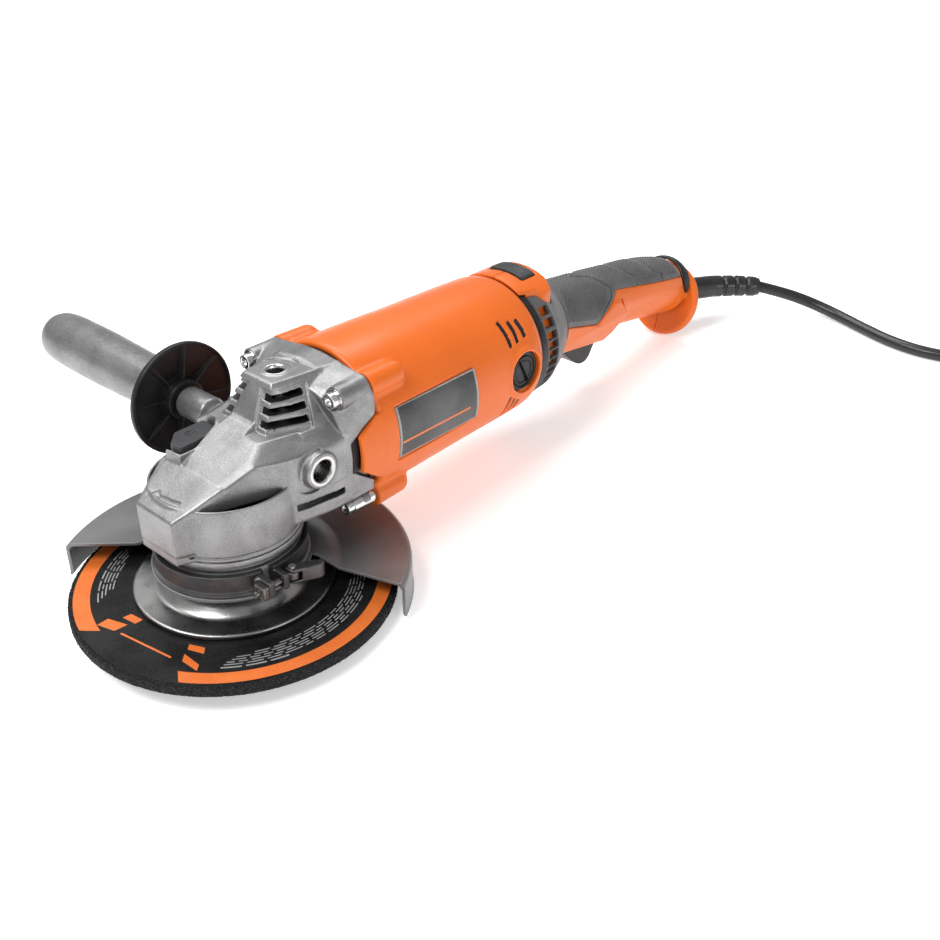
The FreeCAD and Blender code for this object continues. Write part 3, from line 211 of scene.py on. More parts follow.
def turned(axis, middle, outline):
    """A body of revolution about a line along an axis.  The outline holds (radius, place) corners."""
    flat = [other for other in range(3) if other != axis]
    widest = max(radius for radius, _ in outline)
    step = 0.2

    def distance(*at):
        away = np.sqrt((at[flat[0]] - middle[0]) ** 2 + (at[flat[1]] - middle[1]) ** 2)
        rings = np.arange(0, float(away.max()) + 2 * step, step)
        table = polygon(outline, rings[:, None], at[axis].ravel()[None, :])
        place = np.squeeze(away / step, axis=axis)
        row = place.astype(int)
        share = (place - row)[..., None]
        found = table[row] * (1 - share) + table[row + 1] * share
        return np.moveaxis(found, -1, axis)

    low, high = [0, 0, 0], [0, 0, 0]
    low[axis], high[axis] = min(o[1] for o in outline), max(o[1] for o in outline)
    for place, other in enumerate(flat):
        low[other], high[other] = middle[place] - widest, middle[place] + widest
    return Shape(distance, low, high)


def meet(*shapes, edge=0.0):
    """What several shapes share."""
    low = np.max([shape.low for shape in shapes], 0)
    high = np.min([shape.high for shape in shapes], 0)
    return Shape(lambda *at: rounded([shape.distance(*at) for shape in shapes], edge), low, high)


def union(*shapes):
    low = np.min([shape.low for shape in shapes], 0)
    high = np.max([shape.high for shape in shapes], 0)
    return Shape(lambda *at: reduce(np.minimum, [shape.distance(*at) for shape in shapes]), low, high)


def inverse(shape):
    """Everything but the shape."""
    return Shape(lambda *at: -shape.distance(*at), [-999] * 3, [999] * 3)


def mirrored(shape):
    """The shape on the other side of the tool's middle plane."""
    low, high = list(shape.low), list(shape.high)
    low[1], high[1] = -shape.high[1], -shape.low[1]
    return Shape(lambda x, y, z: shape.distance(x, -y, z), low, high)


class Clay:
    """A solid held as its distances on a grid, shaped by adding, carving and meshing."""

    def __init__(self, low, high, step):
        self.step, self.low = step, np.array(low, float)
        self.axes = [np.arange(a, b + step, step, dtype=np.float32) for a, b in zip(low, high)]
        self.field = np.full([len(axis) for axis in self.axes], 20, np.float32)

    def reach(self, shape, soft):
        """The part of the grid that a shape can change, and its coordinates."""
        margin = soft + 2 * self.step
        cut = tuple(slice(*np.searchsorted(axis, (low - margin, high + margin)))
                    for axis, low, high in zip(self.axes, shape.low, shape.high))
        x, y, z = (axis[part] for axis, part in zip(self.axes, cut))
        return cut, (x[:, None, None], y[None, :, None], z[None, None, :])

    def add(self, shape, soft=0.0):
        cut, at = self.reach(shape, soft)
        self.field[cut] = blend(self.field[cut], shape.distance(*at), soft)

    def carve(self, shape, soft=0.0):
        cut, at = self.reach(shape, soft)
        self.field[cut] = -blend(-self.field[cut], shape.distance(*at), soft)

    def add_pair(self, shape, soft=0.0):
        """Adds the shape and its mirror image."""
        self.add(shape, soft)
        self.add(mirrored(shape), soft)

    def carve_pair(self, shape, soft=0.0):
        """Removes the shape and its mirror image."""
        self.carve(shape, soft)
        self.carve(mirrored(shape), soft)

    def keep(self, shape, soft=0.0):
        everywhere = Shape(shape.distance, [axis[0] for axis in self.axes], [axis[-1] for axis in self.axes])
        cut, at = self.reach(everywhere, soft)
        self.field[cut] = -blend(-self.field[cut], -shape.distance(*at), soft)

    def sample(self, points):
        """The distances at any points, in grid steps from the grid's corner."""
        top = np.array(self.field.shape) - 1.001
        points = np.clip(points, 0, top)
        cell = points.astype(np.int64)
        share = points - cell
        total = 0
        for corner in np.ndindex(2, 2, 2):
            weight = np.prod([s if c else 1 - s for s, c in zip(share.T, corner)], axis=0)
            total = total + weight * self.field[tuple((cell + corner).T)]
        return total

    def slopes(self, points):
        made = np.empty_like(points)
        for axis in range(3):
            ahead = np.zeros(3)
            ahead[axis] = 0.6
            made[:, axis] = (self.sample(points + ahead) - self.sample(points - ahead)) / 1.2
        return made

    def settle(self, points, times=2):
        """Moves points onto the surface, along the slope of the distances."""
        for _ in range(times):
            slope = self.slopes(points)
            steep = np.maximum((slope ** 2).sum(1), 1e-4 * self.step)
            move = (self.sample(points) / steep)[:, None] * slope
            size = np.linalg.norm(move, axis=1, keepdims=True)
            points = points - move * np.minimum(1, 0.5 / np.maximum(size, 1e-9))
        return points

    def net(self):
        """One point in each cell that the surface crosses, and a quad for each grid edge that it cuts."""
        field = self.field
        for axis in range(3):
            ends = [slice(None)] * 3
            for end in (0, -1):
                ends[axis] = end
                field[tuple(ends)] = np.maximum(field[tuple(ends)], self.step)
        solid = field < 0
        size = np.array(solid.shape) - 1
        count = np.zeros(size, np.int8)
        for corner in np.ndindex(2, 2, 2):
            count += solid[tuple(slice(c, c + n) for c, n in zip(corner, size))]
        cells = np.argwhere((count > 0) & (count < 8))
        index = np.full(size, -1, np.int32)
        index[tuple(cells.T)] = np.arange(len(cells))
        total, hits = np.zeros((len(cells), 3)), np.zeros(len(cells))
        for axis in range(3):
            unit = np.eye(3, dtype=int)[axis]
            for corner in np.ndindex(2, 2, 2):
                if corner[axis]:
                    continue
                near = field[tuple((cells + corner).T)]
                far = field[tuple((cells + corner + unit).T)]
                cut = (near < 0) != (far < 0)
                share = near[cut] / (near[cut] - far[cut])
                total[cut] += np.array(corner) + share[:, None] * unit
                hits[cut] += 1
        points = cells + total / hits[:, None]
        quads = []
        for axis in range(3):
            u, v = (axis + 1) % 3, (axis + 2) % 3
            low = [slice(1, -1)] * 3
            high = [slice(1, -1)] * 3
            low[axis], high[axis] = slice(0, -1), slice(1, None)
            before, after = solid[tuple(low)], solid[tuple(high)]
            start = np.ones(3, int)
            start[axis] = 0
            for rising in (True, False):
                edges = np.argwhere((before & ~after) if rising else (~before & after)) + start
                shift_u, shift_v = np.eye(3, dtype=int)[u], np.eye(3, dtype=int)[v]
                ring = [edges - shift_u - shift_v, edges - shift_v, edges, edges - shift_u]
                ring = ring if rising else ring[::-1]
                quads.append(np.stack([index[tuple(cell.T)] for cell in ring], axis=1))
        return points, np.concatenate(quads)

    def mesh(self, name, share=0.5, matrix=TOOL):
        """The surface as an object, thinned to a share of its triangles, with the solid's own normals."""
        points, faces = self.net()
        points, faces = thinned(self.settle(points), faces, share)
        points = self.settle(points, 1)
        slope = self.slopes(points)
        normals = slope / np.maximum(np.linalg.norm(slope, axis=1, keepdims=True), 1e-9)
        return raw_object(name, points * self.step + self.low, faces, matrix, normals)


def thinned(points, faces, share):
    """The mesh with a share of its triangles."""
    made = raw_object("thinning", points, faces, ROW)
    modifier = made.modifiers.new("thin", "DECIMATE")
    modifier.ratio = share
    mesh = made.evaluated_get(bpy.context.evaluated_depsgraph_get()).to_mesh()
    mesh.calc_loop_triangles()
    found = np.empty(len(mesh.vertices) * 3)
    corners = np.empty(len(mesh.loop_triangles) * 3, np.int32)
    mesh.vertices.foreach_get("co", found)
    mesh.loop_triangles.foreach_get("vertices", corners)
    bpy.data.objects.remove(made)
    return found.reshape(-1, 3), corners.reshape(-1, 3)


# ---------------------------------------------------------------- objects

def link(name, data):
    made = bpy.data.objects.new(name, data)
    bpy.context.scene.collection.objects.link(made)
    return made


def raw_object(name, points, faces, matrix, normals=None):
    """An object with a smooth mesh, its points moved into the row frame."""
    matrix = np.array(matrix)
    points = np.asarray(points, float) @ matrix[:3, :3].T + matrix[:3, 3]
    mesh = bpy.data.meshes.new(name)
    if isinstance(faces, np.ndarray):
        count, sides = faces.shape
        mesh.vertices.add(len(points))
        mesh.vertices.foreach_set("co", points.astype(np.float32).ravel())
        mesh.loops.add(count * sides)
        mesh.loops.foreach_set("vertex_index", faces.astype(np.int32).ravel())
        mesh.polygons.add(count)
        mesh.polygons.foreach_set("loop_start", np.arange(0, count * sides, sides, dtype=np.int32))
        mesh.update(calc_edges=True)
    else:
        mesh.from_pydata([tuple(point) for point in points], [], faces)
    mesh.polygons.foreach_set("use_smooth", [True] * len(mesh.polygons))
    if normals is not None:
        turn = matrix[:3, :3] / np.cbrt(np.linalg.det(matrix[:3, :3]))
        mesh.normals_split_custom_set_from_vertices((normals @ turn.T).astype(np.float32))
    return link(name, mesh)


def weigh_normals(made):
    """Keeps flat stretches flat beside their rounded edges."""
    modifier = made.modifiers.new("flat_stretches", "WEIGHTED_NORMAL")
    modifier.keep_sharp = True
    modifier.weight = 60


def lathe(name, outline, matrix=SPINDLE, turns=(0, 360), steps=128, bend=None):
    """Sweeps an outline of (radius, height) points round the matrix's Z axis.

    bend(angle, radius, height) may move each point, for threads, notches and slanting ends."""
    whole = abs(turns[1] - turns[0]) >= 360
    angles = np.radians(np.linspace(*turns, steps + 1))
    if whole:
        angles = angles[:-1]
    rings, count = len(angles), len(outline)
    radius, height = (np.array(column, float) for column in zip(*outline))
    angle = np.repeat(angles[:, None], count, 1)
    radius, height = np.tile(radius, (rings, 1)), np.tile(height, (rings, 1))
    if bend:
        angle, radius, height = bend(angle, radius, height)
    points = np.stack([radius * np.cos(angle), radius * np.sin(angle), height], -1).reshape(-1, 3)
    faces = []
    for ring in range(rings if whole else rings - 1):
        ahead = (ring + 1) % rings
        for index in range(count):
            beside = (index + 1) % count
            faces.append((ring * count + index, ahead * count + index,
                          ahead * count + beside, ring * count + beside))
    if not whole:
        faces.append(tuple(range(count - 1, -1, -1)))
        faces.append(tuple((rings - 1) * count + index for index in range(count)))
    made = raw_object(name, points, faces, TOOL @ matrix)
    tidy_faces(made)
    weigh_normals(made)
    return made


def tidy_faces(made):
    """Merges points that coincide, as on an axis, and turns every face outwards."""
    work = bmesh.new()
    work.from_mesh(made.data)
    bmesh.ops.remove_doubles(work, verts=work.verts, dist=SAME_PLACE)
    bmesh.ops.recalc_face_normals(work, faces=work.faces)
    work.to_mesh(made.data)
    work.free()


def frames_along(path):
    """Directions across a path, turned as little as possible from one point to the next."""
    path = [Vector(point) for point in path]
    ways = [(path[min(i + 1, len(path) - 1)] - path[max(i - 1, 0)]).normalized() for i in range(len(path))]
    side = ways[0].orthogonal().normalized()
    found = []
    for way in ways:
        side = (side - way * side.dot(way)).normalized()
        found.append((side, way.cross(side)))
    return found


def tube(name, path, radii, matrix=TOOL, sides=16):
    """A closed tube along a path."""
    points, faces = [], []
    for centre, radius, (side, up) in zip(path, radii, frames_along(path)):
        for index in range(sides):
            turn = 2 * math.pi * index / sides
            points.append(Vector(centre) + (side * math.cos(turn) + up * math.sin(turn)) * radius)
    for ring in range(len(path) - 1):
        for index in range(sides):
            beside = (index + 1) % sides
            faces.append((ring * sides + index, ring * sides + beside,
                          (ring + 1) * sides + beside, (ring + 1) * sides + index))
    faces.append(tuple(range(sides - 1, -1, -1)))
    faces.append(tuple((len(path) - 1) * sides + index for index in range(sides)))
    made = raw_object(name, [tuple(point) for point in points], faces, matrix)
    weigh_normals(made)
    return made


def spring(name, start, end, radius, wire, turns):
    """A coil spring between two points of the tool, its end turns closed."""
    start, end = Vector(start), Vector(end)
    way = (end - start).normalized()
    side = way.orthogonal().normalized()
    up = way.cross(side)
    path = []
    steps = int(turns * 20)
    for step in range(steps + 1):
        share = step / steps
        rise = share * share * (3 - 2 * share) * 0.4 + share * 0.6
        turn = 2 * math.pi * turns * share
        middle = start + (end - start) * rise
        path.append(middle + (side * math.cos(turn) + up * math.sin(turn)) * radius)
    return tube(name, path, [wire] * len(path), sides=8)


def joined(name, objects):
    """Several meshes as one object."""
    work = bmesh.new()
    for made in objects:
        mesh = made.evaluated_get(bpy.context.evaluated_depsgraph_get()).to_mesh()
        work.from_mesh(mesh)
    mesh = bpy.data.meshes.new(name)
    work.to_mesh(mesh)
    work.free()
    for made in objects:
        bpy.data.objects.remove(made)
    made = link(name, mesh)
    weigh_normals(made)
    return made


def finish_piece(made, body, slot, *nodes, materials):
    """Gives a piece its materials and its body, and hides the CAD nodes that it stands for; slot is not used.
    """
    for material in materials:
        made.data.materials.append(material)
    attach(made, body)
    if nodes:
        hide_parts(*nodes)
    return made


def paint_faces(made, index, choose):
    """Gives another of the piece's materials to the faces whose middle, in the tool frame, is chosen."""
    back = np.array(TOOL.inverted())
    middles = np.empty(len(made.data.polygons) * 3)
    made.data.polygons.foreach_get("center", middles)
    middles = middles.reshape(-1, 3) @ back[:3, :3].T + back[:3, 3]
    chosen = np.asarray(choose(*middles.T))
    old = np.zeros(len(chosen), np.int32)
    made.data.polygons.foreach_get("material_index", old)
    made.data.polygons.foreach_set("material_index", np.where(chosen, index, old).astype(np.int32))


# ---------------------------------------------------------------- materials

class Nodes:
    """A short way to wire a material's nodes."""

    def __init__(self, name):
        self.material = bpy.data.materials.new(name)
        self.material.use_nodes = True
        self.tree = self.material.node_tree
        self.shader = self.tree.nodes["Principled BSDF"]
        self.place = self.tree.nodes.new("ShaderNodeTexCoord").outputs["Object"]

    def make(self, kind, inputs=(), **settings):
        node = self.tree.nodes.new("ShaderNode" + kind)
        for key, value in settings.items():
            setattr(node, key, value)
        for key, value in dict(inputs).items():
            self.put(node.inputs[key], value)
        return node

    def put(self, socket, value):
        if isinstance(value, bpy.types.NodeSocket):
            self.tree.links.new(value, socket)
        else:
            socket.default_value = value

    def set_inputs(self, values):
        for key, value in values.items():
            self.put(self.shader.inputs[key], value)

    def noise(self, scale, detail=3.0, roughness=0.55, stretch=None):
        """Cloudy noise over the piece; scale counts features to the metre."""
        place = self.place
        if stretch:
            place = self.make("Mapping", {"Vector": place, "Scale": stretch}).outputs[0]
        made = self.make("TexNoise", {"Vector": place, "Scale": scale, "Detail": detail,
                                      "Roughness": roughness})
        return made.outputs["Fac"]

    def ramp(self, value, low, high, start=0.35, end=0.65):
        """Maps a value between start and end onto a number or a colour between low and high."""
        if isinstance(low, (int, float)):
            return self.make("MapRange", {"Value": value, "From Min": start, "From Max": end,
                                          "To Min": low, "To Max": high}).outputs[0]
        share = self.make("MapRange", {"Value": value, "From Min": start, "From Max": end}).outputs[0]
        mix = self.make("Mix", data_type="RGBA")
        self.put(mix.inputs["Factor"], share)
        self.put(mix.inputs[6], (*low, 1))
        self.put(mix.inputs[7], (*high, 1))
        return mix.outputs[2]

    def bump(self, heights):
        """heights holds (value, depth in metres) pairs, one bump on top of the other."""
        normal = None
        for value, depth in heights:
            node = self.make("Bump", {"Height": value, "Distance": depth, "Strength": 1.0})
            if normal is not None:
                self.put(node.inputs["Normal"], normal)
            normal = node.outputs[0]
        self.put(self.shader.inputs["Normal"], normal)


def surface(name, dark, light, rough, metal=0.0, patch=60, grain=2500, depth=0.00003, coat=0.0,
            sheen=0.0, stretch=None, coarse=None):
    """A moulded, cast or machined surface.

    Its colour drifts from dark to light over patches, its roughness over the pair rough, and its grain,
    so many features to the metre, stands depth metres high.  coarse adds a second (scale, depth)."""
    nodes = Nodes(name)
    drift = nodes.noise(patch, 4.0)
    fine = nodes.noise(grain, 2.0, 0.6, stretch)
    tone = nodes.make("Math", {0: drift, 1: fine}, operation="ADD").outputs[0]
    nodes.put(nodes.shader.inputs["Base Color"], nodes.ramp(tone, dark, light, 0.8, 1.2))
    nodes.put(nodes.shader.inputs["Roughness"], nodes.ramp(nodes.noise(patch * 2.3, 5.0), *rough))
    nodes.set_inputs({"Metallic": metal, "Coat Weight": coat, "Coat Roughness": 0.15, "Sheen Weight": sheen})
    heights = [(fine, depth)]
    if coarse:
        heights.append((nodes.noise(coarse[0], 3.0), coarse[1]))
    nodes.bump(heights)
    return nodes.material


CAST = surface("cast_aluminium", (0.20, 0.20, 0.204), (0.31, 0.31, 0.314), (0.36, 0.46), metal=0.85,
               grain=1500, depth=0.00010, coarse=(420, 0.00012))
MACHINED = surface("machined_steel", (0.48, 0.48, 0.47), (0.66, 0.66, 0.65), (0.18, 0.30), metal=1.0,
                   patch=90, grain=2600, depth=0.000012, stretch=(1, 1, 14))
POLISHED = surface("polished_hub", (0.28, 0.28, 0.276), (0.38, 0.38, 0.375), (0.26, 0.34), metal=1.0,
                   patch=40, grain=1800, depth=0.00001)
CHROME = surface("bright_plating", (0.60, 0.60, 0.60), (0.78, 0.78, 0.78), (0.10, 0.2), metal=1.0,
                 patch=120, grain=3000, depth=0.000006)
GUARD_STEEL = surface("guard_steel", (0.15, 0.15, 0.153), (0.21, 0.21, 0.213), (0.34, 0.42), metal=0.45,
                      patch=22, grain=2400, depth=0.00002, coat=0.1)
BAND_STEEL = surface("dark_band_steel", (0.07, 0.07, 0.072), (0.12, 0.12, 0.12), (0.30, 0.42), metal=0.8,
                     grain=1900, depth=0.00005)
ORANGE = surface("orange_moulding", (0.64, 0.118, 0.010), (0.71, 0.138, 0.013), (0.30, 0.40), patch=14,
                 grain=1700, depth=0.000035, coat=0.06)
GREY = surface("grey_moulding", (0.030, 0.031, 0.033), (0.055, 0.056, 0.058), (0.36, 0.48), patch=40,
               grain=1500, depth=0.00007)
# BLACK is the colour of real black mouldings, and also painted shade on the inner faces of the gear head, the
# housing and the handle halves.
BLACK = surface("black_moulding_and_painted_shade", (0.008, 0.008, 0.0085), (0.022, 0.022, 0.023), (0.32, 0.5), patch=50,
                grain=1700, depth=0.00004, coat=0.1)
RUBBER = surface("soft_grip_rubber", (0.050, 0.051, 0.053), (0.09, 0.091, 0.094), (0.36, 0.50), patch=45,
                 grain=2100, depth=0.00006, sheen=0.15)
SATIN = surface("satin_side_grip", (0.15, 0.15, 0.154), (0.24, 0.24, 0.244), (0.32, 0.42), metal=0.6,
                patch=40, grain=1800, depth=0.00006, stretch=(1, 0.15, 1))
CORD_RUBBER = surface("lead_rubber", (0.009, 0.009, 0.009), (0.02, 0.02, 0.02), (0.28, 0.42), patch=90,
                      grain=2600, depth=0.00003, coat=0.2)
DARK_STEEL = surface("gear_steel", (0.12, 0.115, 0.11), (0.24, 0.235, 0.23), (0.28, 0.42), metal=1.0,
                     patch=120, grain=1700, depth=0.00002)
LAMINATED = surface("core_laminations", (0.10, 0.10, 0.11), (0.22, 0.22, 0.23), (0.4, 0.55), metal=0.9,
                    patch=90, grain=2600, depth=0.00006, stretch=(12, 1, 1))
COPPER = surface("enamelled_copper", (0.38, 0.12, 0.04), (0.62, 0.24, 0.09), (0.25, 0.4), metal=1.0,
                 patch=150, grain=1500, depth=0.00012, stretch=(1, 6, 6))
BRASS = surface("brass", (0.50, 0.34, 0.10), (0.70, 0.50, 0.19), (0.2, 0.36), metal=1.0, patch=130,
                grain=2200, depth=0.00001)
CARBON = surface("brush_carbon", (0.012, 0.012, 0.013), (0.03, 0.03, 0.03), (0.5, 0.7), patch=200,
                 grain=2400, depth=0.00004)
SPRING_WIRE = surface("spring_wire", (0.30, 0.30, 0.31), (0.5, 0.5, 0.5), (0.2, 0.35), metal=1.0,
                      patch=200, grain=2600, depth=0.000006)
PRINT_BLACK = surface("printed_black", (0.006, 0.006, 0.0065), (0.018, 0.018, 0.018), (0.22, 0.36), patch=35,
                      grain=1300, depth=0.00005)
PRINT_ORANGE = surface("printed_orange", (0.62, 0.13, 0.02), (0.72, 0.17, 0.03), (0.3, 0.42), patch=60,
                       grain=1300, depth=0.00004, coat=0.15)
PRINT_PALE = surface("printed_pale", (0.24, 0.24, 0.24), (0.36, 0.36, 0.36), (0.35, 0.5), patch=60,
                     grain=1300, depth=0.00004)
PLATE = surface("name_plate_face", (0.05, 0.051, 0.053), (0.11, 0.112, 0.115), (0.26, 0.36), metal=0.4,
                patch=26, grain=2400, depth=0.00001, stretch=(0.2, 6, 6))
MODULE = surface("module_case", (0.02, 0.05, 0.09), (0.04, 0.08, 0.13), (0.4, 0.55), patch=80,
                 grain=1500, depth=0.00004)


def abrasive():
    """Coarse bonded grit: grains of several sizes, lighter in their middles, partly the grit's own colour and
    partly a painted glint, and some of them glinting where their roughness is low.
    """
    nodes = Nodes("bonded_abrasive")
    cells = nodes.make("TexVoronoi", {"Vector": nodes.place, "Scale": 1100.0})
    small = nodes.make("TexVoronoi", {"Vector": nodes.place, "Scale": 2300.0})
    grit = nodes.make("Math", {0: cells.outputs["Distance"], 1: small.outputs["Distance"]}, operation="ADD")
    # Partly painted glint: the grains' middles are coloured lighter than their edges.
    nodes.put(nodes.shader.inputs["Base Color"],
              nodes.ramp(grit.outputs[0], (0.26, 0.26, 0.26), (0.010, 0.010, 0.010), 0.2, 0.7))
    nodes.put(nodes.shader.inputs["Roughness"], nodes.ramp(cells.outputs["Distance"], 0.35, 0.8, 0.1, 0.5))
    nodes.bump([(cells.outputs["Distance"], -0.0007), (small.outputs["Distance"], -0.0003)])
    return nodes.material


ABRASIVE = abrasive()
DULL = ((ORANGE, 0.3), (GREY, 0.22), (BLACK, 0.2), (RUBBER, 0.4), (CORD_RUBBER, 0.35), (PRINT_BLACK, 0.16),
        (PRINT_ORANGE, 0.3), (PRINT_PALE, 0.3), (ABRASIVE, 0.2), (PLATE, 0.35))
for dull, share in DULL:
    dull.node_tree.nodes["Principled BSDF"].inputs["Specular IOR Level"].default_value = share


# ---------------------------------------------------------------- camera, light and floor

CAMERA_PLACE = (-297.83, -439.92, 391.51)    # in the tool's frame
CAMERA_AZIMUTH, CAMERA_ELEVATION, CAMERA_ROLL = -48.07, 31.44, 0.166
SENSOR = 36                                  # millimetres
CAMERA_LENS = SENSOR * 1167.7 / 940
FLOOR_HALF = 60.0                            # metres, so that its edge lies past the view


def make_camera():
    a, e, roll = (math.radians(x) for x in (CAMERA_AZIMUTH, CAMERA_ELEVATION, CAMERA_ROLL))
    back = Vector((math.sin(a) * math.cos(e), -math.cos(a) * math.cos(e), math.sin(e)))
    level = Vector((math.cos(a), math.sin(a), 0))
    right = level * math.cos(roll) + back.cross(level) * math.sin(roll)
    turn = Matrix((right, back.cross(right), back)).transposed()
    data = bpy.data.cameras.new("camera")
    data.sensor_width = SENSOR
    data.lens = CAMERA_LENS
    data.clip_start, data.clip_end = 0.01, 50
    camera = link("camera", data)
    place = TOOL @ Vector(CAMERA_PLACE)
    camera.matrix_world = Matrix.Translation(place) @ (TOOL.to_3x3() @ turn).normalized().to_4x4()
    bpy.context.scene.camera = camera


def softbox(name, place, aim, size, power):
    data = bpy.data.lights.new(name, "AREA")
    data.shape = "RECTANGLE"
    data.size, data.size_y = size
    data.energy = power
    light = link(name, data)
    light.location = place
    light.rotation_euler = (Vector(aim) - Vector(place)).to_track_quat("-Z", "Y").to_euler()


def make_studio():
    world = bpy.data.worlds.new("studio")
    world.use_nodes = True
    sky = world.node_tree.nodes["Background"].inputs
    sky["Color"].default_value, sky["Strength"].default_value = (1, 1, 1, 1), 0.46
    bpy.context.scene.world = world
    softbox("key", (-0.75, 0.1, 1.15), (0, 0, 0.05), (0.7, 0.5), 12)
    softbox("top", (0.25, 0.55, 1.2), (0.05, 0, 0.05), (1.5, 0.5), 14)
    softbox("front", (-0.1, -1.5, 0.5), (0, 0, 0.06), (0.8, 0.4), 5)
    nodes = Nodes("studio_floor")
    nodes.put(nodes.shader.inputs["Base Color"], nodes.ramp(nodes.noise(3), (0.93,) * 3, (0.95,) * 3))
    nodes.set_inputs({"Roughness": 0.7, "Specular IOR Level": 0.1, "Emission Color": (1, 1, 1, 1),
                      "Emission Strength": 0.4})
    corners = [(x * FLOOR_HALF, y * FLOOR_HALF, 0) for x, y in ((-1, -1), (1, -1), (1, 1), (-1, 1))]
    floor = raw_object("studio_floor", corners, [(0, 1, 2, 3)], ROW)
    floor.data.materials.append(nodes.material)
    bpy.context.scene.view_settings.view_transform = "Standard"


make_camera()
make_studio()


# ---------------------------------------------------------------- mains lead, in the row frame

LEAD_DIAMETER = 0.0085
BOOT_ROUTE = [(0.2322, -0.06105, 0.0314), (0.2481, -0.06105, 0.0264), (0.2486, -0.06105, 0.0262),
              (0.2550, -0.0614, 0.0259), (0.2723, -0.0650, 0.0250), (0.2903, -0.0750, 0.0237),
              (0.3053, -0.0870, 0.0220), (0.3173, -0.0995, 0.0205)]
BOOT_RADII = [0.0089, 0.0089, 0.0104, 0.0092, 0.0086, 0.0083, 0.0080, 0.0074]
LEAD_ROUTE = [(0.3173, -0.0995, 0.0205), (0.3293, -0.1170, 0.0155), (0.3383, -0.1370, 0.0090),
              (0.3383, -0.1590, 0.0052), (0.3323, -0.1810, 0.0043), (0.3253, -0.2040, 0.0043),
              (0.3230, -0.2270, 0.0043), (0.3270, -0.2490, 0.0043), (0.3330, -0.2710, 0.0044),
              (0.3380, -0.2930, 0.0049), (0.3390, -0.3111, 0.0053)]
COIL_MIDDLE = (0.399, -0.308)
COIL_RADII = (0.0339, 0.0601)                # middle of the innermost and outermost turn
COIL_LAYERS = (0.0053, 0.0139)               # heights of the two layers
COIL_START, COIL_TURNS = 183.0, 2607.0       # degrees
COIL_RINGS = 4                               # turns beside each other in a layer
TAIL_ROUTE = [(0.399, -0.3681, 0.0139), (0.414, -0.3686, 0.0136), (0.4295, -0.3698, 0.0124),
              (0.443, -0.371, 0.0112)]


def smooth(share):
    share = min(max(share, 0), 1)
    return share * share * (3 - 2 * share)


def coil_points():
    """Turns beside each other in two layers; the cord changes ring, or climbs, in one part of each turn."""
    points = []
    change, wide, step = 90.0, 110.0, 15.0   # degrees: middle and width of each change, and between points
    inner, outer = COIL_RADII
    rings = [outer + (inner - outer) * i / (COIL_RINGS - 1) for i in range(COIL_RINGS)]
    rings += rings[::-1]
    for index in range(1, int(COIL_TURNS / step)):
        angle = COIL_START + index * step
        passed = (angle - change + wide / 2) / 360
        ring = max(int(passed) - 1, -1)
        share = smooth((passed - int(passed)) * 360 / wide) if passed >= 1 else 0
        before, after = max(ring, 0), min(ring + 1, len(rings) - 1)
        if ring < 0:
            share = 0
        radius = rings[before] * (1 - share) + rings[after] * share
        height = COIL_LAYERS[0] if before < COIL_RINGS else COIL_LAYERS[1]
        if before == COIL_RINGS - 1:
            height = COIL_LAYERS[0] * (1 - share) + COIL_LAYERS[1] * share
            radius -= 0.0035 * math.sin(math.pi * share) ** 2
        turn = math.radians(angle)
        x, y = COIL_MIDDLE
        points.append((x + radius * math.cos(turn), y + radius * math.sin(turn), height))
    return points


def make_lead():
    data = bpy.data.curves.new("mains_lead", "CURVE")
    data.dimensions = "3D"
    spline = data.splines.new("NURBS")
    points = LEAD_ROUTE + coil_points() + TAIL_ROUTE
    spline.points.add(len(points) - 1)
    for knot, point in zip(spline.points, points):
        knot.co = (*point, 1)
    spline.order_u = 3
    spline.use_endpoint_u = True
    spline.resolution_u = 6
    data.bevel_depth = LEAD_DIAMETER / 2
    data.bevel_resolution = 5
    data.use_fill_caps = True
    lead = link("mains_lead", data)
    return finish_piece(lead, "rear_handle", "cord_rubber", "power_cord", "cord_coil",
                        materials=[CORD_RUBBER])


def along_route(route, radii, count):
    """Evenly spaced points and radii on a smooth line through a route."""
    knots = np.array(route)
    reach = np.concatenate([[0], np.cumsum(np.linalg.norm(np.diff(knots, axis=0), axis=1))])
    at = np.linspace(0, reach[-1], count)
    line = np.stack([np.interp(at, reach, knots[:, axis]) for axis in range(3)], 1)
    for _ in range(12):
        line[1:-1] = (line[:-2] + 2 * line[1:-1] + line[2:]) / 4
    return [tuple(point) for point in line], list(np.interp(at, reach, radii)), at


def make_boot():
    """The tapered strain relief, with grooves near its thin end and a collar against the handle."""
    path, radii, at = along_route(BOOT_ROUTE, BOOT_RADII, 170)
    length = at[-1]
    shaped = []
    pitch, depth = 0.0095, 0.0011
    for radius, place in zip(radii, at):
        for groove in range(3):
            middle = length - 0.010 - groove * pitch
            radius -= depth * math.exp(-((place - middle) / depth) ** 4)
        radius -= 0.0009 * smooth((place - length + 0.004) / 0.004)
        shaped.append(radius)
    boot = tube("lead_boot", path, shaped, ROW, sides=40)
    return finish_piece(boot, "rear_handle", "cord_rubber", "strain_relief", materials=[CORD_RUBBER])


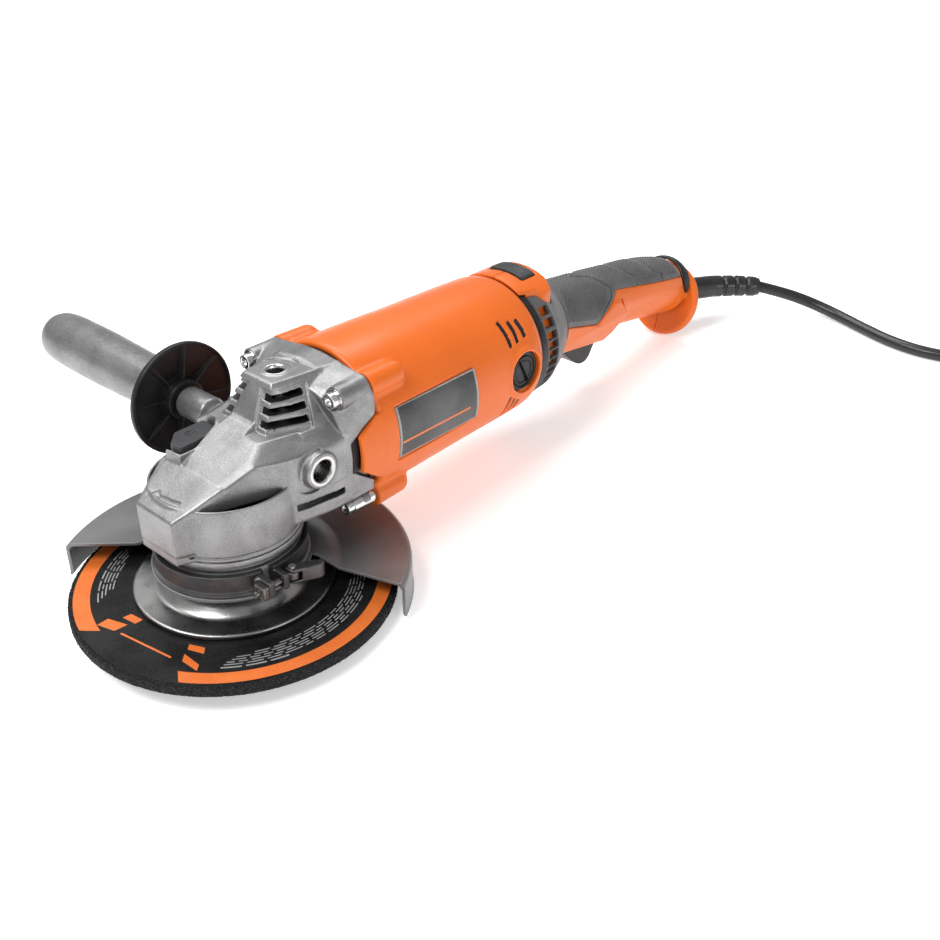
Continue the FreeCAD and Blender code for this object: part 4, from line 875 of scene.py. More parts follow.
def make_tie():
    """A hook and loop strap round the coil's turns, its end laid over itself."""
    inner, outer = COIL_RADII[0] - LEAD_DIAMETER / 2 - 0.0014, COIL_RADII[1] + LEAD_DIAMETER / 2 + 0.0006
    top, bottom, half = COIL_LAYERS[1] + LEAD_DIAMETER / 2 + 0.0006, 0.0006, 0.0068
    corners = [(inner, bottom), (outer, bottom), (outer, top), (inner, top)]
    line = soften(corners, 0.004, 5)
    line = line[2:] + line[:2] + [(x + 0.0012, y + 0.0009) for x, y in line[2:9]]
    points, faces = [], []
    for index, (x, z) in enumerate(line):
        before, after = line[max(index - 1, 0)], line[min(index + 1, len(line) - 1)]
        way = Vector((after[0] - before[0], after[1] - before[1])).normalized()
        out = Vector((way.y, -way.x))
        for across, push in ((-half, 0), (-half * 0.94, 1), (half * 0.94, 1), (half, 0),
                             (half * 0.94, -1), (-half * 0.94, -1)):
            shift = out * push * 0.0005
            points.append((COIL_MIDDLE[0] + x + shift.x, COIL_MIDDLE[1] + across, max(z + shift.y, 0.0001)))
    for row in range(len(line) - 1):
        for side in range(6):
            beside = (side + 1) % 6
            faces.append((row * 6 + side, (row + 1) * 6 + side, (row + 1) * 6 + beside, row * 6 + beside))
    faces.append(tuple(range(6)))
    faces.append(tuple((len(line) - 1) * 6 + side for side in range(5, -1, -1)))
    strap = raw_object("lead_tie", points, faces, ROW)
    tidy_faces(strap)
    cloth = surface("tie_fabric", (0.014, 0.014, 0.015), (0.04, 0.04, 0.042), (0.7, 0.9), patch=300,
                    grain=1400, depth=0.00025, sheen=0.4)
    return finish_piece(strap, "rear_handle", "tie_fabric", "coil_tie", materials=[cloth])


PLUG_START, PLUG_ACROSS, PLUG_HEIGHT = 443.0, -371.0, 11.0     # millimetres, in the row frame
LYING = Matrix.Scale(MM, 4)                                    # millimetres of the row frame to metres
BLADE_SPACING = 12.7


def make_plug():
    """A moulded two-pin plug: ribbed relief, finger grips at the sides, folded blades with holes."""
    x, y, z = PLUG_START, PLUG_ACROSS, PLUG_HEIGHT
    clay = Clay((x - 2, y - 15, 0), (x + 41, y + 15, 24), 0.5)
    clay.add(rod((x + 0.4, y, z), (x + 15, y, z), 5.4, 8.0, 0.8))
    for ring in range(3):
        clay.carve(rod((x + 3 + 3.6 * ring, y, z), (x + 4.2 + 3.6 * ring, y, z), 20), 0.3)
    clay.add(rod((x + 2, y, z), (x + 14, y, z), 4.4, 5.6))
    outline = [(x + 13, y - 7), (x + 19, y - 12.6), (x + 37.6, y - 12.6), (x + 37.6, y + 12.6),
               (x + 19, y + 12.6), (x + 13, y + 7)]
    clay.add(slab(2, soften(outline, 5, 5), 0.3, 21.7, 3.4), 1.2)
    for side in (-1, 1):
        for rib in range(4):
            middle = (x + 22 + 3.6 * rib, y + side * 13.3, z)
            clay.carve(rod(np.add(middle, (0, 0, -6)), np.add(middle, (0, 0, 6)), 1.3, edge=0.5), 0.5)
    clay.carve(block((x + 37.1, y - 9, z - 6.8), (x + 40, y + 9, z + 6.8)), 0.2)
    body = clay.mesh("plug_moulding", 0.5, LYING)
    finish_piece(body, "rear_handle", "cord_rubber", "plug_body", materials=[CORD_RUBBER])
    blades = []
    for side in (-1, 1):
        middle = y + side * BLADE_SPACING / 2
        pin = Clay((x + 35, middle - 1.5, z - 4), (x + 54.6, middle + 1.5, z + 4), 0.25)
        pin.add(block((x + 36, middle - 0.75, z - 3.2), (x + 53.9, middle + 0.75, z + 3.2), 0.35))
        for up in (1, -1):
            tip = [(x + 50, z + 4 * up), (x + 56, z + 4 * up), (x + 56, z - 1.4 * up)]
            pin.carve(slab(1, tip, -500, -200), 0.2)
        pin.carve(rod((x + 47.5, middle - 2, z), (x + 47.5, middle + 2, z), 1.5), 0.2)
        blades.append(pin.mesh("pin", 0.5, LYING))
    pins = joined("plug_pins", blades)
    return body, finish_piece(pins, "rear_handle", "brush_brass", "plug_blades", materials=[BRASS])


def make_mains_lead():
    lead = make_lead()
    boot = make_boot()
    tie = make_tie()
    plug, pins = make_plug()


make_mains_lead()


# ---------------------------------------------------------------- wheel, hub and spindle

def make_wheel():
    """The pressed wheel: a raised middle, a ragged rim, a printed label and the steel hub over it."""
    levels = np.linspace(0.0, 6.35, 8)
    outline = [(15.3, 4.5), (33, 4.5), (38, 0)] + [(r, 0) for r in np.linspace(44, 87, 9)]
    outline += [(88.4, 0.1)] + [(88.9, z) for z in levels[1:-1]] + [(88.4, 6.25)]
    outline += [(r, 6.35) for r in np.linspace(87, 42, 9)] + [(39, 6.35), (34, 10.85), (15.3, 10.85)]
    noise = np.random.default_rng(4)

    def grit(angle, radius, height):
        rough = noise.normal(0, 0.16, radius.shape)
        edge = np.clip((radius - 86.5) / 1.5, 0, 1)
        face = np.clip((radius - 80) / 4, 0, 1)
        return angle, radius + rough * edge - 0.15 * edge, height + 0.35 * rough * face

    wheel = lathe("grinding_wheel", outline, steps=720, bend=grit)
    wheel.modifiers.clear()
    finish_piece(wheel, "wheel_and_spindle", "abrasive", "abrasive_wheel", materials=[ABRASIVE])
    hub = [(51, 6.9), (53.6, 6.95), (54.1, 7.4), (54.2, 8.2), (54.5, 8.5), (54.5, 9.5), (54.0, 10.0),
           (52.8, 10.1), (51.6, 9.9), (43.2, 9.95), (41.2, 10.4), (39.4, 11.6), (37.8, 13.4), (36.2, 15.0),
           (34.4, 16.4), (32.4, 17.2), (30.2, 17.5), (24, 17.6), (20.5, 17.6), (20, 17.3), (19, 17.3),
           (18.5, 17.6), (7.95, 17.6), (7.95, 2), (15, 2), (15, 15.2), (30, 15), (32.5, 13.6), (36.5, 9.6),
           (40, 7.4), (42, 6.9)]
    plate = lathe("steel_hub", hub, steps=160)
    finish_piece(plate, "wheel_and_spindle", "pressed_steel", "wheel_hub", materials=[POLISHED])
    make_label()
    make_spindle()


def flat_patch(corners, low, high, size=2.0):
    """A thin flat plate on the wheel, its corners given as (radius, degrees)."""
    outline = []
    for (r0, a0), (r1, a1) in zip(corners, corners[1:] + corners[:1]):
        reach = max(abs(r1 - r0), abs(math.radians(a1 - a0)) * max(r0, r1))
        steps = max(1, int(reach / size))
        outline += [(r0 + (r1 - r0) * i / steps, a0 + (a1 - a0) * i / steps) for i in range(steps)]
    ring = [(r * math.cos(math.radians(a)), r * math.sin(math.radians(a))) for r, a in outline]
    count = len(ring)
    points = [(x, y, low) for x, y in ring] + [(x, y, high) for x, y in ring]
    faces = [tuple(range(count - 1, -1, -1)), tuple(range(count, 2 * count))]
    faces += [(i, (i + 1) % count, count + (i + 1) % count, count + i) for i in range(count)]
    return raw_object("patch", points, faces, TOOL)


def make_label():
    """The black printed ring with orange bands, blocks and a line."""
    base, top = 6.36, 6.62
    ring = lathe("printed_label", [(50, base), (86.4, base), (86.6, base + 0.12), (86.4, top), (50, top)],
                 steps=240)
    finish_piece(ring, "wheel_and_spindle", "label_paper", "wheel_label", materials=[PRINT_BLACK])
    orange = [
        [(77.5, 95), (86, 93), (86, 164), (77, 168.5)],
        [(76.7, 164.3), (70.4, 162.7), (63.9, 171.7), (71.4, 171.9)],
        [(63.6, 165.3), (58.9, 164.8), (56, 173), (60.5, 173.4)],
        [(70.4, 175.2), (70.4, 204.4), (69.2, 204.5), (69.2, 175.2)],
        [(58, 208.1), (59.3, 216.8), (63.9, 217.4), (62, 209)],
        [(65.5, 208.9), (72.2, 217.3), (76.7, 217.4), (70.9, 209.9)],
        [(78.2, 210.6), (85.8, 213), (86, 340), (78, 343)],
    ]
    curved, straight = 2.0, 900.0            # steps along the edges of the long bands and of the small blocks
    parts = [flat_patch(corners, top - 0.05, top + 0.09, curved if corners[0][0] > 77 else straight)
             for corners in orange]
    decal = joined("label_bands", parts)
    finish_piece(decal, "wheel_and_spindle", "label_paper", materials=[PRINT_ORANGE])
    make_bars(top)


def make_bars(top):
    """Short grey bars in place of small print: rows of (radius, first and last angle, width)."""
    bars = []
    rows = [(72.6, 112, 144, 0.7), (70.6, 110, 146, 0.6), (68.8, 112, 143, 0.6), (67.0, 114, 140, 0.6),
            (65.2, 120, 136, 0.6), (74.0, 226, 246, 0.9), (72.0, 227, 300, 0.6), (70.2, 228, 322, 0.6),
            (68.4, 230, 318, 0.6), (66.6, 232, 324, 0.6), (64.8, 240, 316, 0.6), (63.0, 252, 310, 0.6)]
    chance = np.random.default_rng(9)
    for radius, start, end, width in rows:
        at = start
        while at < end:
            wide = 3 + 5 * chance.random()
            bars.append(flat_patch([(radius, at), (radius + width, at), (radius + width, at + wide),
                                    (radius, at + wide)], top - 0.05, top + 0.07))
            at += wide + 1.6
    small = joined("label_bars", bars)
    finish_piece(small, "wheel_and_spindle", "label_paper", materials=[PRINT_PALE])


def thread_rings(start, count, pitch, ring):
    """One ring of an outline, its heights counted from each turn's start, repeated along a thread."""
    return [(radius, start + pitch * turn + rise) for turn in range(count) for radius, rise in ring]


def make_spindle():
    """Threaded below, with a shoulder under the hub, a seat for each bearing and the wheel gear's key."""
    outline = [(0, 1.5), (6.4, 1.5), (7.3, 2.5)]
    outline += thread_rings(2.8, 7, 1.8, [(7.85, 0.3), (7.85, 0.6), (6.9, 1.2), (6.9, 1.4)])
    outline += [(7.85, 17.7), (14.6, 17.7), (15, 18.1), (15, 21.1), (14.6, 21.5), (8.48, 21.5), (8.48, 55.6),
                (8.1, 56), (8, 56.2), (8, 66.4), (7.6, 66.8), (6.2, 66.8), (6, 67), (6, 76), (5.6, 76.4),
                (3.98, 76.4), (3.98, 84), (3.4, 84.6), (0, 84.6)]
    made = lathe("threaded_spindle", outline, steps=72)
    finish_piece(made, "wheel_and_spindle", "machined_steel", "spindle", materials=[MACHINED])


# ---------------------------------------------------------------- gear head

LUG_OFFSET = 34.0            # the four case screws, across and up from the motor's axis
CORNERS = [(side, lift) for side in (-1, 1) for lift in (-1, 1)]
POCKET_PLAN = [(-16.4, 10.6), (-5.0, 10.9), (7.1, 12.3), (11.5, 17.7), (11.6, 44), (-24, 44), (-17.3, 19)]
BUTTON_PLAN = [(-15.6, 11.3), (-5.0, 11.6), (6.7, 13.0), (10.6, 17.9), (10.7, 27.4), (-8, 27.4), (-16.2, 19)]
SLOT_LEVELS = (98.4, 104.2, 110.0)


def sides(corners):
    """The corners and their mirror images."""
    return list(corners) + [(x, -y, z) for x, y, z in corners]


def round_motor(outline):
    """A body of revolution about the motor's axis, from (x, radius) corners."""
    return turned(0, (0, MOTOR_Z), [(radius, x) for x, radius in outline])


def outside_motor(radius, low, high):
    """What lies past a radius from the motor's axis, between two places along it."""
    return inverse(round_motor([(low, 0), (low, radius), (high, radius), (high, 0)]))


def shaft(low, high, radius, end_radius=None, edge=0.0):
    """A rod on the motor's axis."""
    return rod((low, 0, MOTOR_Z), (high, 0, MOTOR_Z), radius, end_radius, edge)


def lug_rod(side, lift, low, high, radius, edge=0.0):
    """A rod on the axis of one of the case screws."""
    place = (side * LUG_OFFSET, MOTOR_Z + lift * LUG_OFFSET)
    return rod((low, *place), (high, *place), radius, edge=edge)


def tower_shape():
    return hull(sides([(12, -20, 92), (40, -33, 92), (69, -38.5, 92), (28, -12, 119), (48, -15, 119),
                       (69, -18, 119)]), 1.0)


def head_outside(clay):
    """The casting's outer shapes, from the neck up to the tower, the shoulders and the screw lugs."""
    clay.add(turned(2, (0, 0), [(0, 44.6), (38.8, 44.6), (39.4, 45.2), (39.4, 64), (38.5, 74.1),
                                (38.1, 74.5), (0, 74.5)]))
    clay.carve(turned(2, (0, 0), [(0, 64.5), (34.6, 64.5), (36.9, 67), (37.1, 80), (0, 80)]), 0.6)
    roof = slab(1, [(-46, 40), (-46, 68.6), (-43.6, 69.9), (-20, 82.3), (12, 98), (69, 98), (69, 40)],
                *THROUGH)
    nose = slab(2, both_sides([(-43.5, 14.5), (-35.5, 18), (-18, 25)]), 44.6, 90)
    clay.add(meet(nose, roof, edge=0.9), 0.8)
    plan = slab(2, both_sides([(-43.5, 14.5), (-35.5, 18.5), (-18, 25.4), (0, 31.2), (12, 35.2), (24, 38.6),
                               (40, 40.8), (69, 41)]), 50, 120)
    above = hull(sides([(-46, -16.5, 40), (-46, -16.2, 68.8), (-46, -9, 70.6), (-1, -36, 40), (-1, -33, 88.6),
                        (-1, -18, 97), (26, -42, 40), (26, -42, 84), (26, -36.6, 89.6), (26, -18, 101),
                        (69, -44, 40), (69, -43, 88), (69, -39.5, 93), (69, -18, 104)]))
    clay.add(meet(plan, roof, above, edge=1.3), 0.8)
    flank_plan = slab(2, both_sides([(12, -35.4), (24, -38.6), (40, -40.6), (52.6, -41)]), 40, 90)
    flank = slab(1, [(18.6, 51.4), (38, 50.6), (52.6, 51.4), (52.6, 82), (14, 82), (14.2, 74.5)], *THROUGH)
    clay.add(meet(flank_plan, flank, edge=0.8), 1.0)
    rim = meet(slab(1, [(49.4, 64), (52.4, 64), (52.4, 85), (69, 97.4), (66, 100), (49.4, 88)], *THROUGH),
               round_motor([(48, 30), (72, 30), (72, 46.6), (66, 45.6), (52, 42.4), (48, 41.4)]), edge=0.5)
    clay.add(turned(0, (0, MOTOR_Z), [(0, 56.5), (43.4, 56.5), (43.9, 57), (43.9, 68.4), (0, 68.4)]), 0.8)
    clay.add(meet(shaft(30, 58, 36), block((0, -60, 45.6), (70, 60, 130)), edge=0.8), 0.8)
    clay.add(tower_shape(), 4.5)
    shoulder = hull([(45, -18, 113), (58, -15.5, 118.8), (69.6, -15.5, 118.8), (69.8, -36.0, 116.6),
                     (60, -36.2, 115.4), (47, -33.5, 106.5), (70.2, -42.6, 108), (60, -41.6, 104),
                     (70, -43.4, 98.5), (54, -40.8, 95), (50, -41, 84), (69, -41, 92), (50, -30, 82),
                     (69, -20, 84)], 0.8)
    fin = meet(slab(1, [(40, 51.4), (69.6, 54.6), (53, 67.6), (40, 67.6)], *THROUGH),
               slab(0, [(-41.2, 66), (-41.4, 60), (-40.6, 54), (-38, 50.5), (-30, 48), (-30, 68)], 38, 72),
               edge=0.5)
    notch = slab(1, [(52.6, 67.4), (69.4, 54.4), (74, 54.4), (74, 98), (69.4, 97.6), (52.6, 85)], -60, -38.2)
    clay.carve_pair(notch, 0.4)
    for shape in (shoulder, fin, rim):
        clay.add_pair(shape, 1.4)
    notch = slab(1, [(53, 68.4), (70.5, 54.9), (76, 54.9), (76, 97), (70.6, 97), (53, 84.8)], -60, -38.2)
    clay.carve_pair(notch, 0.4)
    pocket = rod((27.5, -50, SIDE_Z + 0.6), (27.5, -37.2, SIDE_Z + 0.6), 12.4, edge=0.8)
    clay.carve_pair(pocket, 0.5)
    for side in (-1, 1):
        clay.add(rod((SIDE_X, side * 12, SIDE_Z), (SIDE_X, side * 42.0, SIDE_Z), 10.2, edge=1.1), 1.2)
        clay.add(lug_rod(side, 1, 50.2, 69.5, 6.6, 0.6), 1.5)
        clay.add(lug_rod(side, -1, 62.5, 67.5, 5.4, 0.5), 2.5)


def head_details(clay):
    """Sockets, slots, the lock's pocket, the parting line and the engraved arrow."""
    tower = tower_shape()
    window = meet(slab(0, [(-60, 96.2), (-10.2, 96.2), (-4.6, 115.6), (-60, 115.6)], 0, 60),
                  slab(1, [(6, 96.2), (38.4, 96.2), (46.4, 115.6), (6, 115.6)], -60, 0))
    shallow = Shape(lambda *at: np.maximum(window.distance(*at), -(tower.distance(*at) + 1.4)),
                    window.low, window.high)
    clay.carve_pair(shallow, 0.5)
    for index, height in enumerate(SLOT_LEVELS):
        right, edge = 39.0 + 1.6 * index, -11.5 + 1.7 * index
        head = height + 3.3
        inner = slab(0, [(-60, height), (edge, height), (edge + 0.9, head), (-60, head)], 0, 60)
        outer = slab(1, [(6, 90), (right, 90), (right + 1, 120), (6, 120)], -60, 0)
        clay.carve_pair(meet(inner, outer, edge=0.3), 0.3)
    clay.carve_pair(slab(1, [(18.0, 57.6), (47.2, 57.5), (46.6, 61.1), (17.8, 61.4)], -60, -36.2, 0.3), 0.3)
    for side in (-1, 1):
        clay.carve(lug_rod(side, 1, 34, 50.2, 5.9, 0.6), 0.7)
        clay.carve(lug_rod(side, 1, 34, 75, 2.4))
        clay.carve(lug_rod(side, -1, 40, 75, 4.5))
        clay.carve(rod((SIDE_X, side * 20, SIDE_Z), (SIDE_X, side * 50, SIDE_Z), 6.6))
    clay.add(rod((40, 0, 112), (40, 0, 119.4), 7.7, edge=0.3), 0.4)
    clay.carve(rod((40, 0, 97), (40, 0, 124), 5.0))
    groove = turned(2, (40, 0), [(12.7, 118.2), (14.1, 118.2), (14.1, 121), (12.7, 121)])
    clay.carve(meet(groove, slab(2, [(40, -2), (62, -2), (62, 24), (33, 24)], 110, 125)), 0.4)
    pedestal = slab(2, [(-18.2, 8.9), (-5.4, 9.2), (8.2, 10.7), (13.4, 17), (13.4, 28), (-8, 29), (-19, 20)],
                    72, 88.4, 0.6)
    clay.add(pedestal, 1.0)
    clay.carve(slab(2, POCKET_PLAN, 82, 125, 0.3), 0.4)
    arrow = [(-37.2, 12.6), (-33.3, 8.2), (-35.2, 5.8), (-33.4, -9.4)]
    for start, end in zip(arrow, arrow[1:]):
        ends = [(x, y, 69.9 + (x + 43.6) * 0.5085) for x, y in (start, end)]
        clay.carve(rod(*ends, 0.5), 0.3)
    clay.carve(turned(2, (0, 0), [(38.7, 46.9), (41, 46.9), (41, 47.7), (38.7, 47.7)]), 0.3)


def head_inside(clay):
    """Room for the wheel gear, the bearings and the motor's shaft."""
    clay.carve(rod((0, 0, 40), (0, 0, 70.6), 34.0), 0.5)
    clay.carve(rod((0, 0, 70.6), (0, 0, 79.6), 24, 14))
    clay.carve(rod((0, 0, 70), (0, 0, 84.02), 11))
    clay.carve(shaft(8, 41, 12.5))
    clay.carve(shaft(38, 52, 16))
    clay.carve(shaft(50, 56, 8))
    clay.carve(shaft(53.5, 76, 38.2))
    clay.carve(hull(sides([(24, -16, 99), (74, -24, 99), (32, -9, 114), (74, -13, 114)])), 0.4)


def make_gear_head():
    clay = Clay((-46, -47, 42), (72, 47, 122), 0.65)
    head_outside(clay)
    head_details(clay)
    head_inside(clay)
    attic = hull(sides([(20, -20, 96), (74, -26, 96), (30, -11, 116), (74, -15, 116)]))
    made = clay.mesh("gear_head", 0.42)
    finish_piece(made, "tool_body", "cast_alloy", "gear_case", materials=[CAST, BLACK])
    tower = tower_shape()

    # Painted shade: the cast faces inside the tower's hollow and its attic, behind the slots, and the walls
    # of the low side slot are coloured black, where shade falls.
    def dark(x, y, z):
        hollow = (z > 97) & (x < 60) & (np.hypot(x - 40, y) > 7.9)
        behind = (tower.distance(x, y, z) < -2.2) & (z < 114.6) | (attic.distance(x, y, z) < 0) & (z < 116)
        slot = (np.abs(y) > 35.4) & (np.abs(y) < 40.1) & (x > 18.2) & (x < 47.0) & (z > 57.7) & (z < 61.2)
        return hollow & behind | slot

    paint_faces(made, 1, dark)
    make_sockets()
    make_case_bolts()


def socket(name, matrix, face, depth, ring=8.7, radius=6.4):
    """A machined, threaded hole with a flat bright ring round its mouth."""
    outline = [(0, face - depth - 1), (ring, face - depth - 1), (ring, face - 0.4), (ring - 0.4, face),
               (radius + 0.5, face), (radius - 0.2, face - 0.8)]
    for level in np.arange(face - 1.2, face - depth + 2, -1.5):
        outline += [(radius, level), (radius - 0.75, level - 0.75)]
    outline += [(radius - 0.6, face - depth), (0, face - depth)]
    return lathe(name, outline, matrix, steps=72)


def make_sockets():
    near = line_at((SIDE_X, 0, SIDE_Z), "X")
    top = Matrix.Translation((40, 0, 0))
    parts = [socket("socket", near, 42.25, 19), socket("socket", SIDE, 42.25, 19),
             socket("socket", top, 119.5, 19, 6.6, 4.9)]
    made = joined("handle_sockets", parts)
    finish_piece(made, "tool_body", "machined_steel", materials=[MACHINED])


def make_case_bolts():
    """Four socket screws; the lower two run through bright spacer sleeves."""
    parts = []
    for side, lift in CORNERS:
        front = 50.0 if lift > 0 else 55.9
        line = line_at((0, side * LUG_OFFSET, MOTOR_Z + lift * LUG_OFFSET), "Y")
        head = [(0, front - 2.6), (1.9, front - 2.6), (2.3, front - 4.2), (3.9, front - 4.2),
                (4.25, front - 3.8), (4.3, front - 0.1), (4.1, front), (2.25, front), (2.25, 88), (0, 88)]
        parts.append(lathe("bolt", head, line, steps=40))
        if lift < 0:
            ring = [(2.3, front), (4.6, front), (4.9, front + 0.3), (4.9, 71.4), (4.7, 71.6), (2.3, 71.6)]
        else:
            ring = [(2.3, front), (5.2, front), (5.4, front + 0.2), (5.4, front + 1), (2.3, front + 1)]
        parts.append(lathe("ring", ring, line, steps=56))
    made = joined("case_bolts", parts)
    finish_piece(made, "tool_body", "fastener_steel", "gear_case_screws", materials=[CHROME])


def make_lock_button():
    """The spindle lock's cap, with a small mark in its top."""
    clay = Clay((-18, 9, 85), (13, 30, 93), 0.3)
    clay.add(slab(2, soften(BUTTON_PLAN, 1.2), 86.5, 91.2, 0.5))
    x, y = -2.6, 20.4                        # middle of the mark: a half ring round a dot
    clay.carve(rod((x, y, 90.7), (x, y, 92), 3.0), 0.2)
    clay.add(meet(rod((x, y, 90), (x, y, 91.1), 2.3), block((-6, y, 89), (1, 24, 92))), 0.1)
    clay.carve(rod((x, y, 90.7), (x, y, 92), 1.5), 0.1)
    clay.add(rod((x, y, 90), (x, y, 91.1), 0.9), 0.1)
    made = clay.mesh("lock_button_cap")
    finish_piece(made, "spindle_lock", "grey_plastic", "spindle_lock_button", materials=[GREY])


# ---------------------------------------------------------------- guard and clamp

def guard_end(radius):
    """Half the guard's sweep, in degrees, at a radius: its two ends slant to the front."""
    return 12.7 + np.degrees(np.arccos(np.clip(17.02 / radius, -1, 1)))


def make_guard():
    """The pressed guard, its rolled rim and its collar round the head's neck."""
    def slant(angle, radius, height):
        share = angle / math.radians(90)
        return np.radians(guard_end(radius)) * share, radius, height

    corner = 3.2
    bend = [(97 - corner + corner * math.sin(turn), 19 - corner + corner * math.cos(turn))
            for turn in np.radians([90, 70, 50, 30, 10, 0])]
    inner = [(r - 1.35, z - 1.45) for r, z in bend[::-1]]
    outline = [(97.0, 10), (97.0, 4), (97.0, 0.2), (97.5, -1.2), (97.3, -2), (96.2, -2.1), (95.2, -1),
               (95.05, 1), (95.05, 10)]
    outline = [(97.0, 15.8)] + outline + [(95.1, 14.6)] + inner[1:-1] + [(92.6, 17.2)]
    outline += [(r, 17.1) for r in (84, 76, 68, 61)] + [(58, 17.2), (46, 22.2), (41.4, 22.2), (41.4, 24.2),
                (46.5, 24.2), (52.5, 21.6), (57, 19.5), (59.5, 18.95)]
    outline += [(r, 18.9) for r in (68, 76, 84, 91)] + bend[::-1][:-1]
    sheet = lathe("sheet", outline, GUARD, turns=(-90, 90), steps=150, bend=slant)
    ring = lathe("ring", [(38.7, 22.2), (42.6, 22.2), (43, 22.6), (43, 23.9), (42.6, 24.2), (38.7, 24.2)],
                 GUARD, steps=120)
    made = joined("guard_sheet", [sheet, ring])
    bevel(made, 0.35)
    finish_piece(made, "guard", "guard_steel", "guard_shell", materials=[GUARD_STEEL])


def bevel(made, width, segments=2, angle=35):
    """Rounds the piece's edges."""
    modifier = made.modifiers.new("rounded_edges", "BEVEL")
    modifier.width = width * MM
    modifier.segments = segments
    modifier.limit_method = "ANGLE"
    modifier.angle_limit = math.radians(angle)
    if made.modifiers[0].type == "WEIGHTED_NORMAL":
        made.modifiers.move(len(made.modifiers) - 1, 0)


SCREW_Y, SCREW_Z = -46.2, 30.6               # the clamp's screw runs along X
PIVOT_X = 3.5                                # the cam lever's pin, across the screw


def make_band():
    """The split band with its two folded ears."""
    gap = math.degrees(math.asin(7.5 / 40))
    band = lathe("band", [(38.72, 24.4), (42.0, 24.4), (42.2, 24.7), (42.1, 25.9), (41.2, 26.5), (41.1, 27.5),
                          (41.1, 35.6), (41.4, 36.2), (41.3, 36.8), (38.72, 36.8)],
                 turns=(-90 - gap + 3.6, 270 - gap - 3.6), steps=150)
    ears = []
    for low, high, foot in ((-15, -10.6, -16.6), (-5, -1.2, -4.4)):
        clay = Clay((-21, -52, 22), (3, -36, 38), 0.4)
        clay.add(block((low, -50, 26), (high, -38.9, 35.4), 1.1))
        clay.add(block((min(low, foot), -41.8, 26.4), (max(high, foot + 3), -39.2, 34.8), 0.8), 1.6)
        clay.carve(rod((-30, SCREW_Y, SCREW_Z), (10, SCREW_Y, SCREW_Z), 2.5), 0.3)
        clay.carve(rod((0, 0, 20), (0, 0, 60), 39.2))
        ears.append(clay.mesh("ear"))
    made = joined("guard_band", [band] + ears)
    finish_piece(made, "guard", "band_steel", "guard_clamp_band", materials=[BAND_STEEL])


def make_clamp_screw():
    """The threaded bolt that draws the ears together, its square nut and its eye on the lever's pin."""
    line = line_at((0, SCREW_Y, SCREW_Z), "Y")
    thread = thread_rings(-21, 20, 1.05, [(2.2, 0.25), (1.75, 0.8)])
    bolt = lathe("bolt", [(0, -21.5), (1.5, -21.5), *thread, (1.9, 0.6), (0, 0.6)], line, steps=40)
    clay = Clay((-20, -52, 25), (8, -41, 36), 0.35)
    clay.add(block((-19, -50.6, 26.8), (-15.1, -42.4, 34.6), 0.9))
    x, y = PIVOT_X, SCREW_Y
    clay.add(rod((x, y, 28.4), (x, y, 32.8), 3.6, edge=0.4))
    clay.carve(rod((x, y, 20), (x, y, 40), 2.05))
    nut = clay.mesh("nut")
    made = joined("clamp_bolt", [bolt, nut])
    finish_piece(made, "guard", "fastener_steel", "clamp_screw", materials=[DARK_STEEL])


def make_cam_lever():
    x, y = PIVOT_X, SCREW_Y
    plan = [(x - 3.4, y + 2.6), (x + 2.9, y + 3.1), (x + 13, y - 3.4), (x + 15.4, y - 6),
            (x + 14.6, y - 9), (x + 11, y - 9.6), (x + 2, y - 5.0), (x - 3.0, y - 3.2)]
    clay = Clay((-2, -58, 25), (21, -41, 36), 0.35)
    clay.add(slab(2, soften(plan, 1.6), 26.2, 35, 0.9))
    clay.carve(block((x + 5.5, -52.5, 34.2), (x + 14, -40, 36)), 0.5)
    clay.carve(rod((x, y, 28), (x, y, 33.2), 5.4), 0.3)
    clay.carve(block((x - 12, y - 12, 28), (x + 0.5, y + 12, 33.2)), 0.3)
    clay.carve(rod((x, y, 20), (x, y, 40), 2.1), 0.2)
    lever = clay.mesh("clamp_cam")
    finish_piece(lever, "guard_lever", "fastener_steel", "clamp_lever", materials=[BAND_STEEL])


make_wheel()
make_gear_head()
make_lock_button()
make_guard()
make_band()
make_clamp_screw()
make_cam_lever()


# ---------------------------------------------------------------- motor housing

CAP_X = 192.8                # middle of the brush caps
VENTS = [(179.6, 181.6, 107.8), (187.2, 188.0, 106.2), (193.4, 195.2, 105.6)]    # x above, x below, top
BARREL = [(72, 45.3), (73.2, 46.4), (75, 46.8), (100, 46.7), (120, 46.1), (150, 45.3), (187, 44.7),
          (203, 44.2), (208, 43.5), (211, 42.2), (212, 40.9)]


def cap_rod(side, low, high, radius, edge=0.0):
    """A rod on the axis of one of the brush caps."""
    return rod((CAP_X, side * low, MOTOR_Z), (CAP_X, side * high, MOTOR_Z), radius, edge=edge)


def cut_vents(clay):
    """Blind slots beside the brush caps, above and below them."""
    past_backing = outside_motor(43.7, 150, 215)
    backing = round_motor([(176.5, 41.2), (176.5, 44), (203.2, 44), (203.2, 41.2)])
    for low, high in ((91.5, 110.5), (44, 64.5)):
        clay.add(meet(backing, block((170, -60, low), (210, 60, high))), 0.3)
    for index, (top, foot, height) in enumerate(VENTS):
        waist = (top + foot) / 2
        outline = [(top, height), (top + 3.2, height + 0.8), (waist + 3.9, 101), (foot + 3.2, 94 + index),
                   (foot, 93.4 + index), (waist + 0.7, 100)]
        clay.carve_pair(meet(slab(1, outline, -60, -20, 0.5), past_backing), 0.5)
        start, head = 180 + 5.2 * index, 63.2 - 3 * index
        outline = [(start, head), (start + 3, head - 1.7), (start + 2.5, 47), (start - 0.5, 47)]
        clay.carve_pair(meet(slab(1, outline, -60, -20, 0.4), past_backing), 0.5)


